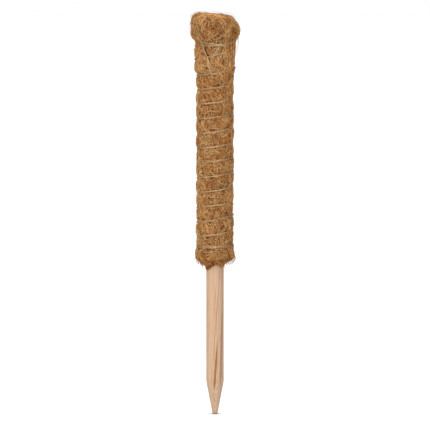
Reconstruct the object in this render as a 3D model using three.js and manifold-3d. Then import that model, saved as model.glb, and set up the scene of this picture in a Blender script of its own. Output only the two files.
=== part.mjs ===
// Coir climbing pole for a pot plant: a pointed wooden stake wrapped in two layers of coir mat, capped with a
// third piece of mat and bound from bottom to top with one length of jute twine.
// Millimetres, +Z up. The origin is on the axis at the soil line, where the coir starts. -Y is the front.
import * as THREE from "three";
import { mergeVertices } from "three/addons/utils/BufferGeometryUtils.js";
import Module from "manifold-3d";

// Stake
const STAKE_DIAMETER = 22;
const BARE_LENGTH = 184; // below the soil line, point included
const TIP_LENGTH = 41;
const TIP_DIAMETER = 6;
const TIP_SHOULDER = 4; // how far each way the straight side rounds into the point
const STAKE_CHAMFER = 1;

// Coir
const COIR_LENGTH = 316; // from the soil line to the crown
const INNER_MAT_THICKNESS = 5;
const OUTER_MAT_THICKNESS = 6.4; // at the crest between two turns of the twine
const MAT_SEAM_GAP = 0.8; // between the two edges of a mat that meet after one turn
const INNER_SEAM_ANGLE = THREE.MathUtils.degToRad(180); // from the front, seen from above, anticlockwise
const OUTER_SEAM_ANGLE = THREE.MathUtils.degToRad(110);
const FLARE_BULGE = 1.4; // how far the frayed lower end stands out past the crest
const FLARE_HEIGHT = 15; // of its widest place
const FLARE_FADE = 16; // above that, back to the crest
const FLARE_HOLLOW = 2; // power of the sine that draws it in below
const COLLAR_THICKNESS = 1.8; // of the gathered lower end on the stake
const COLLAR_HEIGHT = 9;

// Cap
const CROWN_THICKNESS = 15; // above the stake's end
const SKIRT_LENGTH = 74; // from the crown to the lower edge
const SKIRT_THICKNESS = 5.2;
const SKIRT_EDGE_THICKNESS = 1.5;
const SKIRT_EDGE_HEIGHT = 6; // over which the edge thins out
const COMPRESSED_THICKNESS = 3.4; // of the outer mat under the cap
const HEAD_BULGE = 4.9; // past the skirt
const HEAD_DEPTH = 21; // of the widest place below the crown
const CROWN_ROUNDING = 10.5; // how far the crown's rim draws in from the head
const CROWN_DOME = 1.6;
const CROWN_SLANT = 2; // how much higher than the middle the crown's left rim is, and its right rim lower
const CROWN_LEAN = 2; // of the crown to the left, past the head's middle
const LEAST_CAP_WALL = 1.5; // under the twine

// Twine
const TWINE_DIAMETER = 1.6;
const TWINE_PITCH = 19;
const GROOVE_DEPTH = 3.2; // that the twine draws into the coir
const GROOVE_HALF_WIDTH = 7.5;
const GROOVE_FLOOR = 2.9; // half the width of its level floor
const TIE_TURNS = 2; // close turns at each end
const TIE_GAP = 0.6; // between close turns
const BOTTOM_TIE_HEIGHT = 28;
const TOP_TIE_DEPTH = 34.5; // below the crown
const TWINE_START_ANGLE = THREE.MathUtils.degToRad(90); // where the bottom tie starts
const TWINE_END_ANGLE = THREE.MathUtils.degToRad(-50); // where the top tie lets the tail go
const LAST_RISE = 5; // of the last turn towards the top tie
const LAST_RISE_BEFORE = 0.8; // turns before the top tie, where it is highest
const LAST_RISE_TURNS = 0.3; // over which it fades
// Angle in degrees and drop from the top tie's end
const TAIL_POINTS = [
  [-44, 0.3],
  [-38.5, 1.8],
  [-29, 13],
  [-20.5, 20.6],
  [-18.5, 25],
  [-19.5, 29.5],
  [-13.5, 37],
];
const TAIL_LIFT_SHARE = 0.2; // of the tail that it takes to climb out of the groove

// Staples in the first layer's starting edge
const STAPLE_COUNT = 5;
const STAPLE_CROWN = 10;
const STAPLE_LEG = 9;
const STAPLE_WIRE = 1;
const STAPLE_SINK = 0.8; // of the crown below the mat's outside
const STAPLE_EDGE_ANGLE = THREE.MathUtils.degToRad(16); // from the seam
const STAPLE_END_MARGIN = 26; // from the first layer's ends to the outer staples

// Clearances
const CLEARANCE = 0.3; // between neighbours that touch on the real pole
const SEAT_GAP = 0.6; // under the twine, so that flat facets stay clear of it

// Facets
const STAKE_SIDES = 32;
const COIR_SIDES = 24;
const COIR_ROW_STEP = 5.7;
const CAP_ROW_STEP = 4;
const CURVE_STEPS = 5;
const TURN_STEPS = 24;
const TWINE_SIDES = 6;
const TAIL_STEPS = 21;

const FULL_TURN = 2 * Math.PI;
const MERGE_DISTANCE = 1e-4; // of corners that are one

// Radii and heights that several pieces share
const stakeRadius = STAKE_DIAMETER / 2;
const stakeBore = stakeRadius + CLEARANCE;
const innerMatRadius = stakeBore + INNER_MAT_THICKNESS;
const outerMatBore = innerMatRadius + CLEARANCE;
const crestRadius = outerMatBore + OUTER_MAT_THICKNESS;
const compressedRadius = outerMatBore + COMPRESSED_THICKNESS;
const capBore = compressedRadius + CLEARANCE;
const skirtRadius = capBore + SKIRT_THICKNESS;
const headRadius = skirtRadius + HEAD_BULGE;
const twineRadius = TWINE_DIAMETER / 2;
const tiePitch = TWINE_DIAMETER + TIE_GAP;

const tipZ = -BARE_LENGTH;
const crownZ = COIR_LENGTH;
const stakeTopZ = crownZ - CROWN_THICKNESS;
const skirtZ = crownZ - SKIRT_LENGTH;
const headZ = crownZ - HEAD_DEPTH;
const topTieZ = crownZ - TOP_TIE_DEPTH;
const ledgeZ = skirtZ - CLEARANCE;
const innerMatBottomZ = COLLAR_HEIGHT + CLEARANCE;

// Turns of the twine, counted from its lower end
const windingBottomZ = BOTTOM_TIE_HEIGHT + (TIE_TURNS * tiePitch) / 2;
const windingTopZ = topTieZ - (TIE_TURNS * tiePitch) / 2;
const lastPartTurn = THREE.MathUtils.euclideanModulo((TWINE_END_ANGLE - TWINE_START_ANGLE) / FULL_TURN, 1);
const fullTurns = Math.round((windingTopZ - windingBottomZ) / TWINE_PITCH - lastPartTurn);
const windingTurns = Math.max(1, fullTurns) + lastPartTurn;
const windingPitch = (windingTopZ - windingBottomZ) / windingTurns;
const twineTurns = windingTurns + 2 * TIE_TURNS;

const wasm = await Module();
wasm.setup();

// A point at an angle from the front, anticlockwise seen from above.
const around = (radius, angle, z) =>
  new THREE.Vector3(radius * Math.sin(angle), -radius * Math.cos(angle), z);

const smooth = (share) => THREE.MathUtils.smoothstep(share, 0, 1);

// The share of a quarter ellipse's height at a share of its length from the tip.
const quarterRound = (share) => Math.sqrt(Math.max(0, 1 - (1 - Math.min(share, 1)) ** 2));

// Height of the twine after a number of turns.
function twineHeight(turn) {
  if (turn < TIE_TURNS) return windingBottomZ - (TIE_TURNS - turn) * tiePitch;
  const wound = turn - TIE_TURNS;
  const away = (wound - windingTurns + LAST_RISE_BEFORE) / LAST_RISE_TURNS;
  const rise = LAST_RISE * Math.exp(-(away ** 2));
  if (wound < windingTurns) return windingBottomZ + wound * windingPitch + rise;
  return windingTopZ + (wound - windingTurns) * tiePitch;
}

// About how many turns the twine has made when it reaches a height.
function turnAtHeight(z) {
  if (z < windingBottomZ) return TIE_TURNS - (windingBottomZ - z) / tiePitch;
  if (z < windingTopZ) return TIE_TURNS + (z - windingBottomZ) / windingPitch;
  return TIE_TURNS + windingTurns + (z - windingTopZ) / tiePitch;
}

// How far a place on the surface is from the nearest turn of the twine, up or down.
function distanceToTwine(angle, z) {
  const share = THREE.MathUtils.euclideanModulo((angle - TWINE_START_ANGLE) / FULL_TURN, 1);
  const nearest = Math.round(turnAtHeight(z) - share) + share;
  const turns = [nearest - 1, nearest, nearest + 1].map((turn) => THREE.MathUtils.clamp(turn, 0, twineTurns));
  return Math.min(...turns.map((turn) => Math.abs(twineHeight(turn) - z)));
}

// Radius of the outer mat without the twine's groove.
function matCrest(z) {
  const collar = stakeBore + COLLAR_THICKNESS;
  const flare = crestRadius + FLARE_BULGE;
  const rise = Math.sin((z / FLARE_HEIGHT) * (Math.PI / 2)) ** FLARE_HOLLOW;
  if (z < FLARE_HEIGHT) return collar + (flare - collar) * rise;
  return flare - FLARE_BULGE * smooth((z - FLARE_HEIGHT) / FLARE_FADE);
}

// Radius of the cap without the twine's groove.
function capCrest(z) {
  if (z > headZ) return headRadius - CROWN_ROUNDING * (1 - quarterRound((crownZ - z) / HEAD_DEPTH));
  if (z > topTieZ) return skirtRadius + HEAD_BULGE * smooth((z - topTieZ) / (headZ - topTieZ));
  const edge = SKIRT_THICKNESS - SKIRT_EDGE_THICKNESS;
  return skirtRadius - edge * (1 - quarterRound((z - skirtZ) / SKIRT_EDGE_HEIGHT));
}

// Radius at which the twine has drawn the coir in.
function seatRadius(z) {
  const onMat = matCrest(z) - GROOVE_DEPTH;
  const onCap = Math.max(capCrest(Math.max(z, skirtZ)) - GROOVE_DEPTH, capBore + LEAST_CAP_WALL);
  const climb = smooth((z - skirtZ) / SKIRT_EDGE_HEIGHT + 1);
  return onMat + (onCap - onMat) * climb;
}

const twineSeat = (z) => seatRadius(z) + SEAT_GAP + twineRadius;

// A crest drawn in along the twine, with a floor wide enough for a row of facets on each side of the twine.
function grooved(crest, seat, angle, z) {
  const slope = (distanceToTwine(angle, z) - GROOVE_FLOOR) / (GROOVE_HALF_WIDTH - GROOVE_FLOOR);
  return crest - Math.max(0, crest - seat) * (1 - smooth(slope));
}

const matRadiusAt = (angle, z) => grooved(matCrest(z), matCrest(z) - GROOVE_DEPTH, angle, z);
const capRadiusAt = (angle, z) => grooved(capCrest(z), seatRadius(z), angle, z);

// Heights from low to high in even steps of about the size asked for.
function rows(low, high, step) {
  const count = Math.max(1, Math.ceil((high - low) / step));
  return Array.from({ length: count + 1 }, (_, i) => low + ((high - low) * i) / count);
}

// A geometry from points and triangles, without the triangles that have no width.
function geometryOf(points, triangles) {
  const made = new THREE.BufferGeometry().setFromPoints(points).setIndex(triangles);
  const merged = mergeVertices(made, MERGE_DISTANCE);
  const index = merged.index.array;
  const kept = [];
  for (let i = 0; i < index.length; i += 3) {
    const [a, b, c] = index.slice(i, i + 3);
    if (a !== b && b !== c && c !== a) kept.push(a, b, c);
  }
  return merged.setIndex(kept);
}

// Joins rings of points, each with its points in the same order, anticlockwise seen from the last ring.
function loft(rings, { closed = false, ends = () => [] } = {}) {
  const size = rings[0].length;
  const triangles = [];
  const joins = closed ? rings.length : rings.length - 1;
  for (let ring = 0; ring < joins; ring++) {
    const next = (ring + 1) % rings.length;
    for (let i = 0; i < size; i++) {
      const j = (i + 1) % size;
      const [a, b, c, d] = [ring * size + i, ring * size + j, next * size + j, next * size + i];
      triangles.push(a, b, c, a, c, d);
    }
  }
  for (const [a, b, c] of ends(size)) {
    const last = (rings.length - 1) * size;
    triangles.push(a, c, b, last + a, last + b, last + c);
  }
  return geometryOf(rings.flat(), triangles);
}

// A mat that goes round once from a seam: one closed outline of radius and height for each angle.
function wrappedMat(seamAngle, radius, sides, outlineAt) {
  const start = seamAngle + MAT_SEAM_GAP / 2 / radius;
  const sweep = FULL_TURN - MAT_SEAM_GAP / radius;
  const angles = Array.from({ length: sides + 1 }, (_, i) => start + (sweep * i) / sides);
  const outlines = angles.map(outlineAt);
  const rings = outlines.map((outline, i) => outline.map(([r, z]) => around(r, angles[i], z)));
  const contour = outlines[0].map(([r, z]) => new THREE.Vector2(r, z));
  return loft(rings.reverse(), { ends: () => THREE.ShapeUtils.triangulateShape(contour, []) });
}

// A solid for joining and cutting.
function solidOf(geometry) {
  const bare = geometry.clone();
  bare.deleteAttribute("normal");
  bare.deleteAttribute("uv");
  const merged = mergeVertices(bare, MERGE_DISTANCE);
  return new wasm.Manifold(
    new wasm.Mesh({
      numProp: 3,
      vertProperties: merged.attributes.position.array,
      triVerts: new Uint32Array(merged.index.array),
    }),
  );
}

function geometryOfSolid(solid) {
  const mesh = solid.getMesh();
  return new THREE.BufferGeometry()
    .setAttribute("position", new THREE.BufferAttribute(mesh.vertProperties, 3))
    .setIndex(new THREE.BufferAttribute(mesh.triVerts, 1));
}

// Turned stake with a blunt point, rounded where the point starts.
function stakeGeometry() {
  const tipRadius = TIP_DIAMETER / 2;
  const shoulderZ = tipZ + TIP_LENGTH;
  const below = TIP_SHOULDER / TIP_LENGTH;
  const outline = new THREE.Path()
    .moveTo(0, tipZ)
    .lineTo(tipRadius, tipZ)
    .lineTo(stakeRadius - (stakeRadius - tipRadius) * below, shoulderZ - TIP_SHOULDER)
    .quadraticCurveTo(stakeRadius, shoulderZ, stakeRadius, shoulderZ + TIP_SHOULDER)
    .lineTo(stakeRadius, stakeTopZ - STAKE_CHAMFER)
    .lineTo(stakeRadius - STAKE_CHAMFER, stakeTopZ)
    .lineTo(0, stakeTopZ);
  return new THREE.LatheGeometry(outline.getPoints(CURVE_STEPS), STAKE_SIDES).rotateX(Math.PI / 2);
}

// First layer of mat, straight and even, with its edges meeting at the back.
function innerMatGeometry() {
  const outline = [
    [innerMatRadius, innerMatBottomZ],
    [innerMatRadius, stakeTopZ],
    [stakeBore, stakeTopZ],
    [stakeBore, innerMatBottomZ],
  ];
  return wrappedMat(INNER_SEAM_ANGLE, innerMatRadius, STAKE_SIDES, () => outline);
}

// Second layer: pillowed between the turns, flared below the bottom tie and thinner under the cap.
function outerMatGeometry() {
  const heights = rows(0, ledgeZ, COIR_ROW_STEP);
  const hidden = [
    [compressedRadius, ledgeZ],
    [compressedRadius, stakeTopZ],
    [outerMatBore, stakeTopZ],
    [outerMatBore, COLLAR_HEIGHT],
    [stakeBore, COLLAR_HEIGHT],
    [stakeBore, 0],
  ];
  const outlineAt = (angle) => [...heights.map((z) => [matRadiusAt(angle, z), z]), ...hidden];
  return wrappedMat(OUTER_SEAM_ANGLE, crestRadius, COIR_SIDES, outlineAt);
}

// Cap: a thick crown over the stake's end, a bulging head above the top tie and a skirt below it.
function capGeometry() {
  const heights = rows(skirtZ, crownZ, CAP_ROW_STEP);
  const ceiling = stakeTopZ + CLEARANCE;
  const angles = Array.from({ length: COIR_SIDES }, (_, i) => (FULL_TURN * i) / COIR_SIDES);
  const onCrown = (radius, angle, z) => {
    const share = smooth((z - headZ) / HEAD_DEPTH);
    const slant = CROWN_SLANT * (radius > 0 ? Math.sin(angle) : 0);
    return around(radius, angle, z - slant * share).add(new THREE.Vector3(-CROWN_LEAN * share, 0, 0));
  };
  const rings = angles.map((angle) => [
    ...heights.map((z) => onCrown(capRadiusAt(angle, z), angle, z)),
    onCrown(0, angle, crownZ + CROWN_DOME),
    around(0, angle, ceiling),
    around(capBore, angle, ceiling),
    around(capBore, angle, skirtZ),
  ]);
  return loft(rings.reverse(), { closed: true });
}

// Places of the twine's centre line through its ties and turns.
function windingPath() {
  const steps = Math.ceil(twineTurns * TURN_STEPS);
  return Array.from({ length: steps + 1 }, (_, i) => {
    const turn = (twineTurns * i) / steps;
    const z = twineHeight(turn);
    return around(twineSeat(z), TWINE_START_ANGLE + turn * FULL_TURN, z);
  });
}

// The tail: out of the top tie, over its lower turns, then slanting down the skirt over the turn below.
function tailPath() {
  const startZ = twineHeight(twineTurns);
  const overTwine = (z) => Math.max(capCrest(z), twineSeat(z) + twineRadius) + SEAT_GAP + twineRadius;
  const route = new THREE.SplineCurve([
    new THREE.Vector2(TWINE_END_ANGLE, startZ),
    ...TAIL_POINTS.map(([angle, drop]) => new THREE.Vector2(THREE.MathUtils.degToRad(angle), startZ - drop)),
  ]);
  return Array.from({ length: TAIL_STEPS }, (_, i) => {
    const share = (i + 1) / TAIL_STEPS;
    const { x: angle, y: z } = route.getPoint(share);
    const radius = THREE.MathUtils.lerp(twineSeat(startZ), overTwine(z), smooth(share / TAIL_LIFT_SHARE));
    return around(radius, angle, z);
  });
}

// A round tube along points that go round the axis.
function tubeGeometry(path) {
  const rings = path.map((point, i) => {
    const ahead = path[Math.min(i + 1, path.length - 1)];
    const behind = path[Math.max(i - 1, 0)];
    const along = ahead.clone().sub(behind).normalize();
    const out = new THREE.Vector3(point.x, point.y, 0).projectOnPlane(along).normalize();
    const across = along.clone().cross(out);
    return Array.from({ length: TWINE_SIDES }, (_, side) => {
      const angle = (FULL_TURN * side) / TWINE_SIDES;
      const offset = out.clone().multiplyScalar(Math.cos(angle)).addScaledVector(across, Math.sin(angle));
      return point.clone().addScaledVector(offset, twineRadius);
    });
  });
  const fan = (size) => Array.from({ length: size - 2 }, (_, i) => [0, i + 1, i + 2]);
  return loft(rings, { ends: fan });
}

// Least gap between stretches of the twine that are at least half a turn apart along it.
function leastGap(path) {
  let least = Infinity;
  for (let i = 0; i < path.length; i++) {
    for (let j = i + TURN_STEPS / 2; j < path.length; j++) {
      least = Math.min(least, path[i].distanceTo(path[j]));
    }
  }
  return least - TWINE_DIAMETER;
}

// A staple lying along the pole, its legs pointing at the axis.
// A margin makes it larger all round, and a lift raises its crown.
function stapleGeometry(margin = 0, lift = 0) {
  const half = STAPLE_CROWN / 2 + margin;
  const wire = STAPLE_WIRE + 2 * margin;
  const top = margin + lift;
  const crownFoot = -STAPLE_WIRE - margin;
  const foot = -STAPLE_LEG - margin;
  const outline = new THREE.Shape([
    new THREE.Vector2(-half, top),
    new THREE.Vector2(-half, foot),
    new THREE.Vector2(-half + wire, foot),
    new THREE.Vector2(-half + wire, crownFoot),
    new THREE.Vector2(half - wire, crownFoot),
    new THREE.Vector2(half - wire, foot),
    new THREE.Vector2(half, foot),
    new THREE.Vector2(half, top),
  ]);
  return new THREE.ExtrudeGeometry(outline, { depth: wire, bevelEnabled: false }).translate(0, 0, -wire / 2);
}

// Where a staple sits: its crown along Z, its legs towards the axis.
function staplePlace(number) {
  const low = innerMatBottomZ + STAPLE_END_MARGIN;
  const high = stakeTopZ - STAPLE_END_MARGIN;
  const z = low + ((high - low) * number) / Math.max(1, STAPLE_COUNT - 1);
  const angle = INNER_SEAM_ANGLE + STAPLE_EDGE_ANGLE;
  const outward = around(1, angle, 0);
  const up = new THREE.Vector3(0, 0, 1);
  return new THREE.Matrix4()
    .makeBasis(up, outward, up.clone().cross(outward))
    .setPosition(around(innerMatRadius - STAPLE_SINK, angle, z));
}

const staplePlaces = Array.from({ length: STAPLE_COUNT }, (_, i) => staplePlace(i));

// Cuts the staples' slots into a piece that they go through.
function withStapleSlots(geometry) {
  const lift = STAPLE_SINK + CLEARANCE;
  return geometryOfSolid(
    staplePlaces.reduce(
      (solid, place) => solid.subtract(solidOf(stapleGeometry(CLEARANCE, lift).applyMatrix4(place))),
      solidOf(geometry),
    ),
  );
}

const turnedWood = { color: 0xd9b697, roughness: 0.65, metalness: 0 };
const coir = { color: 0x9b6c42, roughness: 0.95, metalness: 0 };
const innerCoir = { color: 0x7a5230, roughness: 0.95, metalness: 0 };
const jute = { color: 0xa7825c, roughness: 0.9, metalness: 0 };
const steelWire = { color: 0xa8aaad, roughness: 0.4, metalness: 1 };

const pole = new THREE.Group();

// Adds a piece to the pole, with a material of its own.
function add(name, geometry, finish) {
  const mesh = new THREE.Mesh(geometry, new THREE.MeshStandardMaterial(finish));
  mesh.name = name;
  pole.add(mesh);
  return mesh;
}

add("wooden_stake", withStapleSlots(stakeGeometry()), turnedWood);
add("inner_coir_mat", withStapleSlots(innerMatGeometry()), innerCoir);
add("outer_coir_mat", outerMatGeometry(), coir);
add("coir_top_cap", capGeometry(), coir);

const twinePath = [...windingPath(), ...tailPath()];
add("binding_twine", tubeGeometry(twinePath), jute);
const gap = leastGap(twinePath).toFixed(2);
console.log(`binding_twine: ${twineTurns.toFixed(1)} turns, least gap to itself ${gap} mm`);

staplePlaces.forEach((place, i) => {
  add(`mat_staple_${i + 1}`, stapleGeometry(), steelWire).applyMatrix4(place);
});

export default pole;
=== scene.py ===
"""Looks of a coir climbing pole, dressed around its packed construction.

A pointed wooden stake is wrapped in coir, capped with a folded coir head and bound with jute twine.
Lengths are millimetres unless a name says otherwise, angles are radians from the front, and meshes are
in metres.
"""

import logging
import math
from dataclasses import dataclass, field, replace
from enum import Enum

import bpy
import numpy as np
from bpy.types import Material, Mesh, Node, NodeOutputs, Object, Scene
from bpy.types import NodeSocket as Socket
from bpy.types import NodeTree as Tree
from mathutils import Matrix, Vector
from numpy.random import Generator

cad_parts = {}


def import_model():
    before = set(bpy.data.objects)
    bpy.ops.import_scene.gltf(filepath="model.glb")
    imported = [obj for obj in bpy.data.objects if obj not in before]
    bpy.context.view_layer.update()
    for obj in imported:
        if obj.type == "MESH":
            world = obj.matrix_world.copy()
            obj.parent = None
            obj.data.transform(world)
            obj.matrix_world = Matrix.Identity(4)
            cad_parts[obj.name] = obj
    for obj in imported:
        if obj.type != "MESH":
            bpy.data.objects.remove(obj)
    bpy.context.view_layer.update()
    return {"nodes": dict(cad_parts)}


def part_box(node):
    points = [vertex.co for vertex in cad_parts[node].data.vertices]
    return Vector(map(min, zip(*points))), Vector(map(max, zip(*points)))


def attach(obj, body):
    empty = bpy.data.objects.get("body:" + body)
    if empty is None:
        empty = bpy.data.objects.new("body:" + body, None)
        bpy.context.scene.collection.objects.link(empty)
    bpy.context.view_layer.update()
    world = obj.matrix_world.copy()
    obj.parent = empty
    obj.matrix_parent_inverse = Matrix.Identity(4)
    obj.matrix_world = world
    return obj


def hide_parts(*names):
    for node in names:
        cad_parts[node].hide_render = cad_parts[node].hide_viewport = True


LOG = logging.getLogger("coir_pole")
MM = 0.001
FULL_TURN = 2.0 * math.pi
ALL_ROUND = (-math.pi, math.pi)
LEVEL = (1.0, 1.0, 0.0)
UP = (0.0, 0.0, 1.0)
SMALLEST = 1e-9
SQUARE_CM = 100.0
MERGE_GAP = 0.01
LOOSE_POINTS = 9
LOOSE_SHARE = np.linspace(0.0, 1.0, LOOSE_POINTS)
BODY = "root"
TONE = "tone"

# Maps of the strands: one with a cell for each stretch, and one that runs on along each strand
BAKE_MAP = "OFBake"
LAY_MAP = "Lay"
CELL_MARGIN = 0.08
CELL_USED = 0.84
END_SPREAD = 0.3

# Inputs of nodes that share a name with others or go together
RANGE = ("From Min", "From Max", "To Min", "To Max")
MIX_SHARE = 0
MIX_UNDER = 6
MIX_OVER = 7
MIX_RESULT = 2
RAMP_MIDDLE = 0.5
WHITE = (1.0, 1.0, 1.0, 1.0)

Array = np.ndarray
Limits = tuple[float, float]
Range = tuple[float, float, float, float]
Point = tuple[float, float, float]


def smooth(share: Array | float) -> Array | float:
    """Eases a share, clipped to 0 and 1, with level ends."""
    share = np.clip(share, 0.0, 1.0)
    return share * share * (3.0 - 2.0 * share)


def unit(vectors: Array) -> Array:
    """Scales vectors on the last axis to length 1."""
    return vectors / np.maximum(np.linalg.norm(vectors, axis=-1, keepdims=True), SMALLEST)


def around(radius: Array | float, angle: Array | float, z: Array | float) -> Array:
    """Points round the pole's axis, with angles anticlockwise from the front, seen from above."""
    radius, angle, z = np.broadcast_arrays(radius, angle, z)
    return np.stack((radius * np.sin(angle), -radius * np.cos(angle), z), axis=-1)


def angle_of(points: Array) -> Array:
    """Angle of each point from the front."""
    return np.arctan2(points[..., 0], -points[..., 1])


@dataclass(frozen=True)
class Wave:
    """A wave round and along the pole: its height, rounds, length to a radian and phase."""

    height: float
    rounds: int
    length: float
    phase: float = 0.0

    def at(self, angle: Array, z: Array) -> Array:
        """Height of the wave at each place."""
        return self.height * np.sin(self.rounds * angle + z / self.length + self.phase)


def curve_through(corners: Array, count: int) -> Array:
    """Draws a smooth curve through corners.

    Args:
        corners: one row for each.
        count: of points.

    Returns:
        The points, as many between each two corners.
    """
    ahead, behind = 2 * corners[:1] - corners[1:2], 2 * corners[-1:] - corners[-2:-1]
    padded = np.concatenate((ahead, corners, behind))
    place = np.linspace(0.0, len(corners) - 1.0, count)
    index = np.minimum(place.astype(int), len(corners) - 2)
    share = (place - index)[:, None]
    before, start, end, after = (padded[index + shift] for shift in range(4))
    bend = 2 * before - 5 * start + 4 * end - after
    twist = 3 * (start - end) + after - before
    return start + ((end - before) * share + bend * share**2 + twist * share**3) / 2


@dataclass(frozen=True)
class PoleSizes:
    """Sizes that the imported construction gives."""

    stake_radius: float
    tip_z: float
    stake_top_z: float
    flare_radius: float
    head_radius: float
    skirt_z: float
    crown_z: float
    crown_slant: float = 2.0
    crown_lean: float = 2.0

    @classmethod
    def from_frame(cls) -> "PoleSizes":
        """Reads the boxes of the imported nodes.

        Returns:
            The pole's sizes.
        """
        stake_low, stake_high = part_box("wooden_stake")
        mat_low, mat_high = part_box("outer_coir_mat")
        cap_low, cap_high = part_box("coir_top_cap")
        return cls(
            stake_radius=(stake_high.x - stake_low.x) / 2 / MM,
            tip_z=stake_low.z / MM,
            stake_top_z=stake_high.z / MM,
            flare_radius=(mat_high.x - mat_low.x) / 2 / MM,
            head_radius=(cap_high.x - cap_low.x) / 2 / MM,
            skirt_z=cap_low.z / MM,
            crown_z=cap_high.z / MM - cls.crown_slant,
        )


@dataclass(frozen=True)
class Winding:
    """Route of the twine: a tie of close turns, an even winding, a second tie and a tail."""

    sizes: PoleSizes
    diameter: float = 1.6
    pitch: float = 19.0
    tie_turns: int = 2
    tie_gap: float = 0.2
    bottom_tie_z: float = 28.0
    top_tie_depth: float = 34.5
    start_angle: float = math.radians(90)
    end_angle: float = math.radians(-50)
    last_rise: float = 5.0
    last_rise_at: float = 0.8
    last_rise_turns: float = 0.3
    tail_degrees: tuple[float, ...] = (-50.0, -44.0, -38.5, -29.0, -20.5, -18.5, -19.5, -13.5, -11.5)
    tail_drops: tuple[float, ...] = (0.0, 0.3, 1.8, 13.0, 20.6, 25.0, 29.5, 37.0, 42.0)
    step: float = 0.75

    @property
    def top_tie_z(self) -> float:
        """Height of the top tie's middle."""
        return self.sizes.crown_z - self.top_tie_depth

    @property
    def knots(self) -> tuple[Array, Array]:
        """Turns and heights at the ends of the ties and of the winding.

        Returns:
            The turns counted from the lower end, and the heights there.
        """
        tie = self.tie_turns * (self.diameter + self.tie_gap)
        low, high = self.bottom_tie_z + tie / 2, self.top_tie_z - tie / 2
        part = (self.end_angle - self.start_angle) / FULL_TURN % 1.0
        turns = round((high - low) / self.pitch - part) + part
        ends = np.cumsum((0.0, self.tie_turns, turns, self.tie_turns))
        return ends, np.array((low - tie, low, high, high + tie))

    def height(self, turn: Array) -> Array:
        """Finds the twine's height, with the last turn drawn up towards the top tie.

        Args:
            turn: turns from the lower end.

        Returns:
            The heights.
        """
        turns, heights = self.knots
        away = (turn - turns[2] + self.last_rise_at) / self.last_rise_turns
        return np.interp(turn, turns, heights) + self.last_rise * np.exp(-(away**2))

    def tail_angle(self, z: Array) -> Array:
        """Angle of the tail at each height."""
        _, heights = self.knots
        return np.radians(np.interp(heights[-1] - z, self.tail_drops, self.tail_degrees))

    def distance(self, angle: Array, z: Array) -> Array:
        """Measures how far places are from the nearest turn, up or down.

        Args:
            angle: of each place.
            z: its height.

        Returns:
            The distances.
        """
        turns, heights = self.knots
        share = np.mod((angle - self.start_angle) / FULL_TURN, 1.0)
        nearest = np.round(np.interp(z, heights, turns) - share) + share
        beside = [np.abs(self.height(nearest + shift) - z) for shift in (-1, 0, 1)]
        return np.min(beside, axis=0)


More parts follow.
